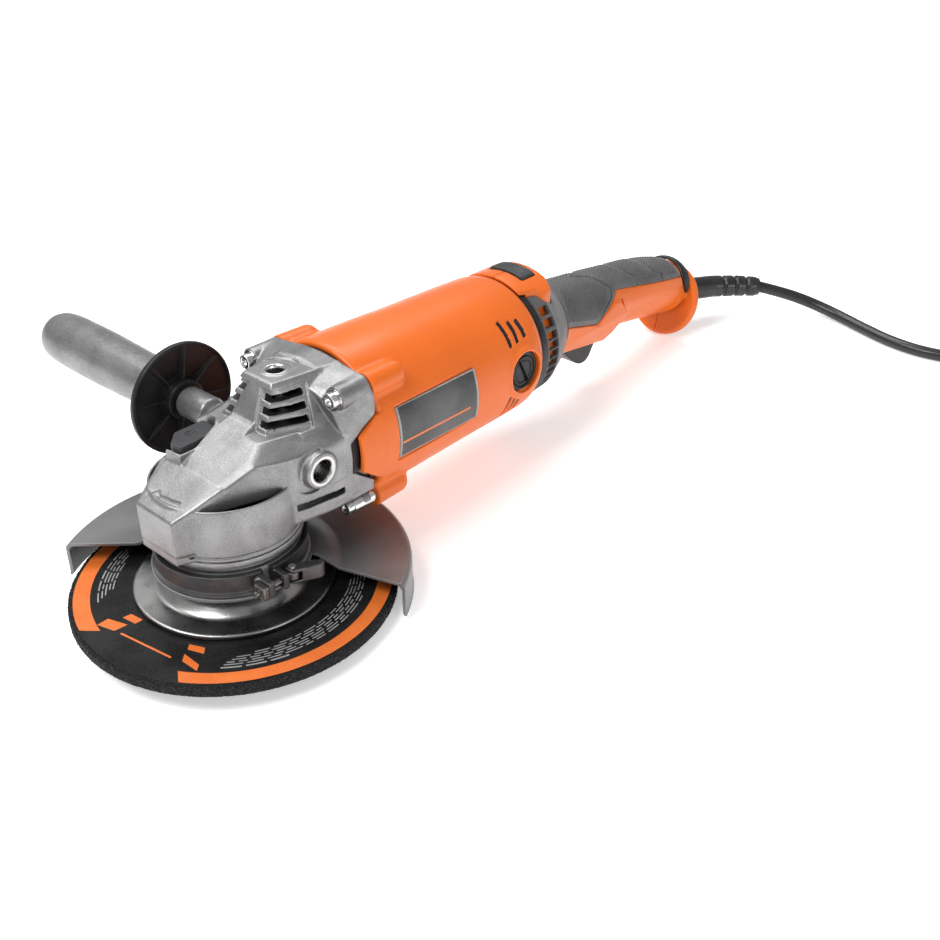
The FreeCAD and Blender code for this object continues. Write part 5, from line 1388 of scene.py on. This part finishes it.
def make_housing():
    """The orange barrel: screw lugs, tongues beside the fan, brush seats and blind vents."""
    clay = Clay((55, -49, 26), (213.5, 49, 126), 0.8)
    clay.add(round_motor([(72, 0)] + BARREL + [(212, 0)]))
    for side, lift in CORNERS:
        y, z = side * LUG_OFFSET, MOTOR_Z + lift * LUG_OFFSET
        start = 70.6 if lift > 0 else 71.8
        clay.add(union(rod((start, y, z), (91, y, z), 7.3, 6.8, 0.8), ball((91, y, z), 6.8)), 4.0)
    ring = round_motor([(56.8, 43.6), (57.4, 43.4), (76, 43.4), (76, 46.8), (57.6, 46.8), (56.8, 46.2)])
    window = slab(1, [(50, 66.5), (58, 66.5), (71, 56.6), (80, 56.6), (80, 95.4), (70, 95.4), (57, 87.5),
                      (50, 87.5)], -60, -38)
    clay.add_pair(meet(ring, window), 0.5)
    for side in (-1, 1):
        clay.add(cap_rod(side, 30, 44.3, 15.4, 1.0), 2.5)
    clay.carve(shaft(60, 203.5, 42.8))
    for side in (-1, 1):
        clay.add(cap_rod(side, 35.6, 43, 15.1))
    clay.carve(shaft(206.5, 214, 38.4))
    clay.carve(shaft(200, 214, 11))
    plates = meet(round_motor([(83.6, 45.6), (83.6, 60), (148.6, 60), (148.6, 44.6)]),
                  block((83.8, -60, 62.4), (148.4, -30, 94.7)), edge=0.3)
    clay.carve_pair(plates, 0.4)
    for side in (-1, 1):
        clay.carve(cap_rod(side, 20, 60, 6.6))
        clay.carve(cap_rod(side, 37.9, 60, 12.9), 0.5)
        for lift in (-1, 1):
            clay.carve(lug_rod(side, lift, 60, 89, 2.4))
    cut_vents(clay)
    for index in range(6):
        turn = math.radians(60 * index + 30)
        middle = (26 * math.cos(turn), MOTOR_Z + 26 * math.sin(turn))
        clay.carve(rod((200, *middle), (210, *middle), 7.5))
    made = clay.mesh("housing_moulding", 0.36)
    finish_piece(made, "tool_body", "orange_housing", "motor_housing", materials=[ORANGE, BLACK])

    # Painted shade: the orange moulding's inner faces and the floors of its blind vents are coloured black,
    # where shade falls.
    def dark(x, y, z):
        away, from_cap = np.hypot(y, z - MOTOR_Z), np.hypot(x - CAP_X, z - MOTOR_Z)
        inner = (away < 43.0) & (x > 66) & (x < 205.5) & (from_cap > 16)
        vents = (away < 43.95) & (x > 178) & (x < 202) & (np.abs(z - MOTOR_Z) > 11.5) & (from_cap > 15.5)
        return inner | vents

    paint_faces(made, 1, dark)
    make_plates()
    make_baffle()
    make_caps()


def angle_about_motor(y, z):
    """Degrees from straight up, the same on both sides."""
    return np.degrees(np.arctan2(np.abs(y), z - MOTOR_Z))


def make_plates():
    """Blank name plates with a pale border and an orange line."""
    parts = []
    for side in (-1, 1):
        middle = 180 - side * 85.8
        outline = [(44.4, 84.4)] + [(46.2, x) for x in (84.4, 85.4, 85.9, 86.4, 110, 141, 146.6, 147.2)]
        outline += [(46.2, 148.0), (44.4, 148.0)]
        parts.append(lathe("plate", outline, MOTOR, (middle - 19.2, middle + 19.2), 96))
    made = joined("blank_nameplates", parts)
    finish_piece(made, "tool_body", "plate_grey", "name_plates", materials=[PLATE, PRINT_PALE, PRINT_ORANGE])

    def border(x, y, z):
        turn = angle_about_motor(y, z)
        return (x < 85.9) | (x > 146.9) | (turn < 67.5) | (turn > 104.1)

    def stripe(x, y, z):
        along = (x > 86.4) & (x < 141) & (np.hypot(y, z - MOTOR_Z) > 46)
        return along & (np.abs(angle_about_motor(y, z) - 93.3) < 0.9)

    paint_faces(made, 1, border)
    paint_faces(made, 2, stripe)


def make_baffle():
    """The black plate behind the fan, with cheeks that show in the notches beside it."""
    clay = Clay((52.5, -44.5, 31), (73, 44.5, 121), 0.6)
    clay.add(round_motor([(66.1, 30), (71.9, 30), (71.9, 31), (70.6, 40), (71.9, 40), (71.9, 43.4),
                          (66.1, 43.4)]))
    cheek = meet(round_motor([(53.1, 39.4), (53.1, 42.0), (53.5, 42.4), (67, 42.4), (67, 39.4)]),
                 slab(1, [(50, 66), (58, 66), (68, 58.4), (68, 93.6), (58, 87.4), (50, 86.6)], -60, -38.7))
    clay.add_pair(cheek)
    for side, lift in CORNERS:
        clay.carve(lug_rod(side, lift, 60, 80, 7.6))
    made = clay.mesh("fan_baffle", 0.4)
    finish_piece(made, "tool_body", "black_plastic", "air_baffle", materials=[BLACK])


def make_caps():
    """Screwed brush caps sunk in their seats: a raised edge, a round step and a slot."""
    parts = []
    for side in (-1, 1):
        clay = Clay((-13, -13, 37.8), (13, 13, 42.8), 0.35)
        clay.add(rod((0, 0, 38), (0, 0, 42.2), 12.4, edge=0.7))
        clay.carve(turned(2, (0, 0), [(9.4, 41.2), (10.3, 41.2), (10.3, 44), (9.4, 44)]), 0.4)
        clay.carve(rod((0, 0, 41.5), (0, 0, 44), 7.6, edge=0.3), 0.4)
        clay.add(rod((0, 0, 41), (0, 0, 41.9), 6.7, edge=0.3), 0.3)
        turn = math.radians(-62)
        along = (math.cos(turn), math.sin(turn))
        corners = [(along[0] * a - along[1] * b, along[1] * a + along[0] * b)
                   for a, b in ((-8.6, -1.1), (8.6, -1.1), (8.6, 1.1), (-8.6, 1.1))]
        clay.carve(slab(2, corners, 40, 45, 0.2), 0.3)
        seat = line_at((CAP_X, 0, MOTOR_Z), "X", -90 * side)
        parts.append(clay.mesh("cap", 0.6, TOOL @ seat))
    made = joined("brush_cap_pair", parts)
    finish_piece(made, "tool_body", "black_plastic", "brush_caps", materials=[BLACK])


# ---------------------------------------------------------------- rear handle

# x, height and radius of the handle under its rubber
HANDLE_LINE = [(219, 75.8, 36.6), (231, 75.8, 35.4), (241, 75.8, 31.4), (252.4, 75.6, 25.5),
               (264, 74.0, 22.6), (290, 71.4, 21.9), (312, 70.0, 21.0), (335, 68.6, 19.4), (360, 65.6, 19.3),
               (385, 60.8, 19.0), (404, 56.2, 18.2)]
GRIP_SCREWS = [(258, 62.0), (330, 76.0), (330, 58.5), (398, 62.0)]
FLANGE_PLACE, FLANGE_DROOP, FLANGE_RADIUS = (411.0, 0, 43.2), 15.0, 28.0


def smooth_line():
    """The handle's middle height and radius at close places, with the corners of its sections eased."""
    grid = np.arange(215, 410, 0.5)
    places, *columns = np.array(HANDLE_LINE).T
    window = 19
    weights = np.hanning(window) / np.hanning(window).sum()
    whole = slice(window // 2, -(window // 2))
    found = []
    for column in columns:
        values = np.interp(grid, places, column)
        values[whole] = np.convolve(values, weights, "same")[whole]
        found.append(values)
    return grid, *found


LINE_X, LINE_Z, LINE_R = smooth_line()


def handle_line(x):
    """The handle's middle height and radius at x."""
    return np.interp(x, LINE_X, LINE_Z), np.interp(x, LINE_X, LINE_R)


def handle_loft(low, high, grow=0.0):
    def distance(x, y, z):
        middle, radius = handle_line(x)
        side = (np.sqrt(y * y + (z - middle) ** 2) - (radius + grow)) * 0.96
        return rounded([side, np.abs(x - (low + high) / 2) - (high - low) / 2])
    return Shape(distance, (low, -40 - grow, 30), (high, 40 + grow, 120))


def saddle_plan(grow, low, high):
    """The release button's saddle, seen from above."""
    half = [(212.4 - grow, 20.6 + grow), (227.0, 23.0 + grow), (229.8 - grow, 27.0 + grow),
            (237.6 + grow, 26.1 + grow), (241.2 + grow, 17.8)]
    return slab(2, soften(both_sides(half), 1.5), low, high)


def handle_solid():
    """Both halves of the handle in one: grip, keel, flange, saddle, hollows and screw posts."""
    clay = Clay((207.5, -45, 14), (418, 45, 122), 0.8)
    clay.add(handle_loft(219, 404))
    clay.add(round_motor([(208.3, 0), (208.3, 37.5), (211, 37.5), (211, 35.7), (219.2, 35.7), (219.2, 0)]))
    keel = slab(1, [(258.5, 74), (258.5, 57.5), (262, 54.2), (275, 51.4), (311, 43.9), (319, 42.0),
                    (325.6, 47.5), (331, 62), (320, 76), (262, 80)], *THROUGH)
    across = slab(0, [(-23.5, 78), (-23.3, 64), (-10.6, 41), (10.6, 41), (23.3, 64), (23.5, 78)], 255, 335)
    below = slab(1, [(250, 75.4), (294, 65.2), (320.6, 80.8), (345, 77), (345, 30), (250, 30)], *THROUGH)
    clay.add(meet(keel, across, below, edge=1.6), 1.5)
    clay.add(rod((329, 0, 65.4), (401, 0, 54.2), 18.4, edge=3), 3.5)
    step = slab(1, [(256.6, 76.4), (294, 66.2), (320.4, 81.8), (404, 66.2), (404, 60), (330, 60), (324, 76),
                    (300, 62), (256.6, 66)], *THROUGH)
    swell = meet(handle_loft(256.8, 404, 1.7), step)
    clay.add(swell, 0.8)
    turn = math.radians(FLANGE_DROOP)
    way = np.array((math.cos(turn), 0, -math.sin(turn)))
    start = np.array(FLANGE_PLACE) - way * 3
    clay.add(rod(start - way * 0.2, start + way * 3.0, FLANGE_RADIUS - 1.8, FLANGE_RADIUS, 0.8))
    clay.add(rod(start + way * 2.2, start + way * 6, FLANGE_RADIUS, edge=1.1))
    clay.add(rod((402, 0, 56.8), (409.5, 0, 50.5), 18.4, 19.5, 1.0), 2.0)
    top = round_motor([(212.4, 41.1), (212.4, 42.9), (213, 43.4), (240.6, 43.4), (241.2, 42.8), (241.2, 20),
                       (218.4, 20), (218.4, 41.1)])
    seat = meet(saddle_plan(0, 100, 130), top, edge=0.7)
    clay.add(seat)
    clay.carve(handle_loft(216, 400, -2.7))
    clay.carve(shaft(200, 219.4, 32.6))
    clay.carve(slab(1, [(264, 66), (264, 57), (276, 54.2), (311, 46.4), (317, 45.2), (322.6, 50),
                        (322.6, 66)], -9.2, 9.2))
    clay.carve(block((269, -8.4, 30), (317.4, 8.4, 62), 0.4), 0.4)
    clay.carve(rod((390, 0, 48.6), (425, 0, 39.4), 9.1), 0.5)
    clay.carve(block((223.4, -13.9, 104), (237.1, 13.9, 130), 0.8), 0.5)
    for a, b in GRIP_SCREWS:
        clay.add(meet(rod((a, -17, b), (a, 17, b), 4.2), handle_loft(250, 403, -1.0)))
        clay.carve(rod((a, -12.5, b), (a, 30, b), 1.8))
        clay.carve(rod((a, 15, b), (a, 30, b), 3.5), 0.4)
    return clay


def make_handle():
    clay = handle_solid()
    whole = clay.field.copy()

    # Painted shade: the orange inner faces of each half are coloured black, where shade falls inside the
    # grip.
    def inner(x, y, z):
        middle, radius = handle_line(x)
        return (np.hypot(y, z - middle) < radius - 2.2) & (x > 242) & (x < 399) & (z > 55)

    for end, side in (("near", -1), ("far", 1)):
        clay.field = whole.copy()
        low, high = sorted((0.05 * side, 60.0 * side))
        clay.keep(block((150, low, -20), (500, high, 200)), 0.35)
        made = clay.mesh("handle_half_" + end, 0.36)
        finish_piece(made, "rear_handle", "orange_housing", "handle_shell_" + end, materials=[ORANGE, BLACK])
        paint_faces(made, 1, inner)
    make_rubber()
    make_collar()
    make_release_button()
    make_trigger()
    make_grip_end()


STUD_PITCH = 3.1                             # of the rubber's small diamonds
RUBBER_START, RUBBER_END = 252.2, 403.7
RUBBER_STEP, RUBBER_ACROSS = 0.6, 181        # the skin's net, along the handle and round it


def rubber_edge(x):
    """Height of the rubber's lower edge, seen from the side."""
    return np.interp(x, [256.6, 294, 320.5, 404], [76.6, 66.4, 82, 66.4])


def groove_lines():
    """Where each chevron groove runs: (degrees from the top, x) pairs."""
    return [[(0, 291), (14, 303), (26, 307), (40, 310.2), (48, 314.2), (56, 313.4), (65, 310.8), (80, 301.5),
             (100, 294)],
            [(0, 338.5), (15, 340.6), (33, 341.6), (44, 346.6), (58, 345.4), (75, 342)],
            [(0, 366.5), (17, 368.6), (42, 370.4), (47, 378.0), (62, 376.4), (80, 372)]]


def rubber_height(x, arc, turn):
    """Relief of the rubber: zones of small diamonds between grooves, with a smooth neck and rim."""
    height = np.zeros_like(x)
    lines = [np.interp(turn, *zip(*line)) for line in groove_lines()]
    start = np.interp(turn, [0, 35, 64, 77, 100], [271, 263.5, 259.5, 258, 260])
    studs = np.abs(np.sin(np.pi * (x + arc) / STUD_PITCH) * np.sin(np.pi * (x - arc) / STUD_PITCH))
    inside = np.clip((x - start) / 1.2, 0, 1) * np.clip((400.5 - x) / 1.2, 0, 1)
    inside *= np.clip((turn_limit(x) - turn - 7.5) / 2.5, 0, 1)
    for line in lines:
        away = x - line
        inside *= np.clip((np.abs(away + 1.2) - 2.6) / 1.0, 0, 1)
        height -= 1.0 * np.exp(-(away / 0.9) ** 4)
        height += 0.35 * np.exp(-((away + 2.6) / 1.3) ** 4)
    height += 0.8 * studs * inside
    height += 0.25 * np.exp(-((x - start + 1.4) / 1.2) ** 4)
    return height


def turn_limit(x):
    """How far down the rubber reaches, in degrees from the top."""
    middle, radius = handle_line(x)
    return np.degrees(np.arccos(np.clip((rubber_edge(x) - middle) / (radius + 1.9), -1, 1)))


def make_rubber():
    """The rubber skin, with its relief, as a closed sheet over the top and the sides of the grip."""
    xs = np.append(np.arange(RUBBER_START, RUBBER_END, RUBBER_STEP), RUBBER_END + 0.1)
    across = RUBBER_ACROSS
    share = np.linspace(-1, 1, across)
    limit = np.where(xs < 257.2, 179.0, turn_limit(xs))
    easing = np.interp(xs, [256.2, 258.2], [179.0, turn_limit(258.2)])
    limit = np.where((xs >= 256.2) & (xs < 258.2), easing, limit)
    turn = share[None, :] * limit[:, None]
    x = np.repeat(xs[:, None], across, 1)
    middle, under = handle_line(x)
    arc = np.radians(turn) * 23.0
    relief = rubber_height(x, arc, np.abs(turn))
    rim = np.minimum(1, np.minimum(x - RUBBER_START, RUBBER_END + 0.2 - x) / 1.5 + 0.3)
    rim = np.minimum(rim, (limit[:, None] - np.abs(turn)) / 3.5 + 0.35)
    outer = under + 0.05 + np.maximum(1.75 * rim + relief * (rim > 0.9), 0.25)
    layers = []
    for radius in (outer, under + 0.02):
        way = np.radians(turn)
        layers.append(np.stack([x, radius * np.sin(way), middle + radius * np.cos(way)], -1).reshape(-1, 3))
    rows = len(xs)
    index = np.arange(rows * across).reshape(rows, across)
    quads = np.stack([index[:-1, :-1], index[1:, :-1], index[1:, 1:], index[:-1, 1:]], -1).reshape(-1, 4)
    below = quads[:, ::-1] + rows * across
    loop = np.concatenate([index[0, :], index[1:, -1], index[-1, -2::-1], index[-2:0:-1, 0]])
    ahead = np.roll(loop, -1)
    wall = np.stack([loop, ahead, ahead + rows * across, loop + rows * across], -1)
    made = raw_object("rubber_grip", np.concatenate(layers), np.concatenate([quads, below, wall]), TOOL)
    tidy_faces(made)
    finish_piece(made, "rear_handle", "grey_rubber", "grip_rubber", materials=[RUBBER])


def make_grip_end():
    """A smooth dark band between the rubber and the flange."""
    clay = Clay((399, -24, 34), (414, 24, 84), 0.6)
    band = rod((401.5, 0, 57.6), (408.9, 0, 54.0), 20.6, 21.6, 1.6)
    clay.add(meet(band, slab(1, [(398, 67.5), (404.4, 65.4), (411, 42), (420, 42), (420, 90), (398, 90)],
                             -40, 40), edge=0.8))
    clay.carve(rod((398, 0, 59), (412, 0, 52.4), 18.0, 18.6))
    made = clay.mesh("grip_end_band")
    finish_piece(made, "rear_handle", "grey_rubber", materials=[BLACK])


COLLAR_SLOTS = 14                            # on each side


def make_collar():
    """The louvred collar: rows of slots on both sides, with thin bars between."""
    clay = Clay((217.8, -42, 34), (253, 42, 118), 0.65)
    clay.add(round_motor([(218.4, 40.2), (219.0, 40.8), (222, 40.7), (230.6, 40.0), (233, 38.7), (242, 35.2),
                          (247, 32.4), (252.4, 29.4), (252.4, 26.6), (241, 31.8), (231, 35.8), (222, 37.0),
                          (218.4, 37.0)]))
    clay.carve(saddle_plan(0.35, 95, 130), 0.3)
    for index in range(COLLAR_SLOTS):
        half = 2.9 if index < 2 else 2.4
        for side in (-1, 1):
            turn = math.radians(50.4 + 11.4 * min(index, 2) + 8.6 * max(index - 2, 0))
            out = (side * math.sin(turn), math.cos(turn))
            along = (-out[1] * side, out[0] * side)
            corners = [(out[0] * r + along[0] * w, MOTOR_Z + out[1] * r + along[1] * w)
                       for r, w in ((34, -half), (46, -half - 0.2), (46, half + 0.2), (34, half))]
            clay.carve(slab(0, corners, 219.9, 229.5, 0.4), 0.3)
    made = clay.mesh("louvred_collar", 0.45)
    finish_piece(made, "rear_handle", "grey_plastic", "vent_collar", materials=[RUBBER])


def make_release_button():
    """The swivel's button, with three grooves across its top."""
    clay = Clay((222.5, -15, 108), (238, 15, 122.5), 0.45)
    plan = soften(both_sides([(224, -13.3), (236.5, -13.3)]), 2.2, 4)
    clay.add(meet(slab(2, plan, 109.5, 125), shaft(220, 240, 44.6), edge=0.8))
    for rib in range(3):
        clay.carve(meet(block((226.6 + 3 * rib, -9, 100), (228.0 + 3 * rib, 9, 130)),
                        outside_motor(44.1, 220, 240)), 0.4)
    made = clay.mesh("swivel_button_cap")
    finish_piece(made, "swivel_button", "grey_plastic", "release_button", materials=[GREY])


def make_trigger():
    """The paddle, hinged at its front."""
    x, z = 272.5, 55.0
    outline = [(x - 3, z + 2.6), (x - 3, z - 3), (277, 47.5), (286, 38.5), (293, 32.8), (298, 30.4),
               (303, 30.4), (307, 32.4), (313.5, 42.2), (314.5, 51.5), (300, 54.5), (x + 4, z + 2.6)]
    clay = Clay((268, -9.5, 28), (317, 9.5, 60), 0.5)
    clay.add(slab(1, soften(outline, 2.2), -8, 8, 1.3))
    clay.carve(rod((x, -20, z), (x, 20, z), 2.05), 0.2)
    made = clay.mesh("trigger_paddle", 0.45)
    finish_piece(made, "trigger_switch", "black_plastic", "trigger", materials=[GREY])


# ---------------------------------------------------------------- side handle

def make_side_handle():
    outline = [(0, 24), (4.6, 24), (5.2, 24.8)]
    outline += thread_rings(25.0, 12, 1.75, [(5.8, 0.3), (5.8, 0.5), (5.05, 1.2), (5.05, 1.4)])
    outline += [(5.4, 47.4), (6.9, 48.6), (8.2, 49.4), (9.2, 51), (9.2, 70.6), (8.8, 71.6), (7.2, 71.8),
                (7.2, 77.5), (6, 77.5), (6, 150), (0, 150)]
    stud = lathe("handle_stud", outline, SIDE, steps=72)
    finish_piece(stud, "tool_body", "machined_steel", "side_handle_stud", materials=[SATIN])
    clay = Clay((-35, -35, 72), (35, 35, 85), 0.6)
    profile = [(7.55, 73), (11.2, 73), (12.0, 73.8), (12.7, 80.2), (31.6, 78.0), (31.8, 76.6), (32.4, 76),
               (33.2, 76.1), (33.7, 76.8), (33.7, 79.2), (33.2, 79.9), (31, 81.1), (13, 84), (7.55, 84)]
    clay.add(turned(2, (0, 0), profile))
    for rib in range(8):
        turn = math.radians(45 * rib + 10)
        along, side = np.array((math.cos(turn), math.sin(turn))), np.array((-math.sin(turn), math.cos(turn)))
        plan = ((11.5, -0.75), (32, -0.75), (32, 0.75), (11.5, 0.75))
        corners = [tuple(along * a + side * b) for a, b in plan]
        web = turned(2, (0, 0), [(0, 74.0), (12.4, 74.6), (31.8, 77.4), (31.8, 82), (0, 82)])
        clay.add(meet(slab(2, corners, 76.9, 81.1), web), 0.8)
    disc = clay.mesh("hand_guard_disc", 0.5, TOOL @ SIDE)
    finish_piece(disc, "tool_body", "black_plastic", "side_handle_guard", materials=[BLACK])
    grip = [(6.05, 84.1), (13.2, 84.1), (13.6, 84.6), (14.2, 92), (14.8, 100), (15.4, 112), (15.8, 125),
            (16.2, 138), (16.5, 150), (16.65, 165), (16.6, 180), (16.45, 190), (16.1, 197), (15.3, 202),
            (13.8, 205.6), (11.6, 208.2), (8.6, 209.9), (4.4, 210.8), (0, 211), (0, 150.1), (6.05, 150.1)]
    made = lathe("side_grip", grip, SIDE, steps=96)
    finish_piece(made, "tool_body", "handle_grey", "side_handle_grip", materials=[SATIN])


# ---------------------------------------------------------------- springs and parts kept from the CAD model

SPRINGS = (                                  # name, body, node, ends, radius, wire and turns
    ("lock_spring", "tool_body", "spindle_lock_spring", (0, 16.2, 79.9), (0, 16.2, 81.9), 4.0, 0.3, 3),
    ("button_spring", "rear_handle", "release_spring", (231.5, 0, 103.9), (231.5, 0, 105.7), 3.2, 0.3, 3),
    ("switch_spring", "rear_handle", "trigger_spring", (303, 0, 60.3), (303, 0, 61.2), 2.6, 0.25, 2),
)


def make_springs():
    pair = [spring("coil", (193.3, side * 30.2, MOTOR_Z), (193.3, side * 37.7, MOTOR_Z), 2.8, 0.28, 6)
            for side in (-1, 1)]
    finish_piece(joined("brush_spring_pair", pair), "tool_body", "spring_steel", "brush_springs",
                 materials=[SPRING_WIRE])
    for name, body, node, *sizes in SPRINGS:
        finish_piece(spring(name, *sizes), body, "spring_steel", node, materials=[SPRING_WIRE])


KEPT = (                                     # a material, and the width of each part's rounded edges
    (CAST, {"bearing_cover": 0.5}),
    (CHROME, {"cover_screws": 0.3, "handle_screws": 0.2}),
    (MACHINED, {"lower_bearing": 0.4, "upper_bearing": 0.4, "front_motor_bearing": 0.4,
                "rear_motor_bearing": 0.4, "armature_shaft": 0.3, "clamp_pin": 0.3, "spindle_lock_pin": 0.3,
                "trigger_pin": 0.3}),
    (LAMINATED, {"stator_core": 0.4, "armature_core": 0.4}),
    (COPPER, {"field_coils": 1.5, "armature_windings": 1.0, "commutator": 0.3}),
    (BLACK, {"swivel_ring": 0.4, "cooling_fan": 0.3, "switch_body": 0.8}),
    (DARK_STEEL, {"spindle_gear": 0.15, "pinion_gear": 0.12}),
    (RUBBER, {"spindle_seal": 0.2}), (BRASS, {"brush_holders": 0.3}), (CARBON, {"carbon_brushes": 0.2}),
    (MODULE, {"soft_start_module": 0.8}), (GREY, {"cord_clamp": 0.5}),
)


def dress_kept_parts():
    for material, widths in KEPT:
        for name, width in widths.items():
            made = frame["nodes"][name]
            made.data.materials.clear()
            made.data.materials.append(material)
            made.modifiers.new("joined_corners", "WELD").merge_threshold = SAME_PLACE
            bevel(made, width)


make_housing()
make_handle()
make_side_handle()
make_springs()
dress_kept_parts()
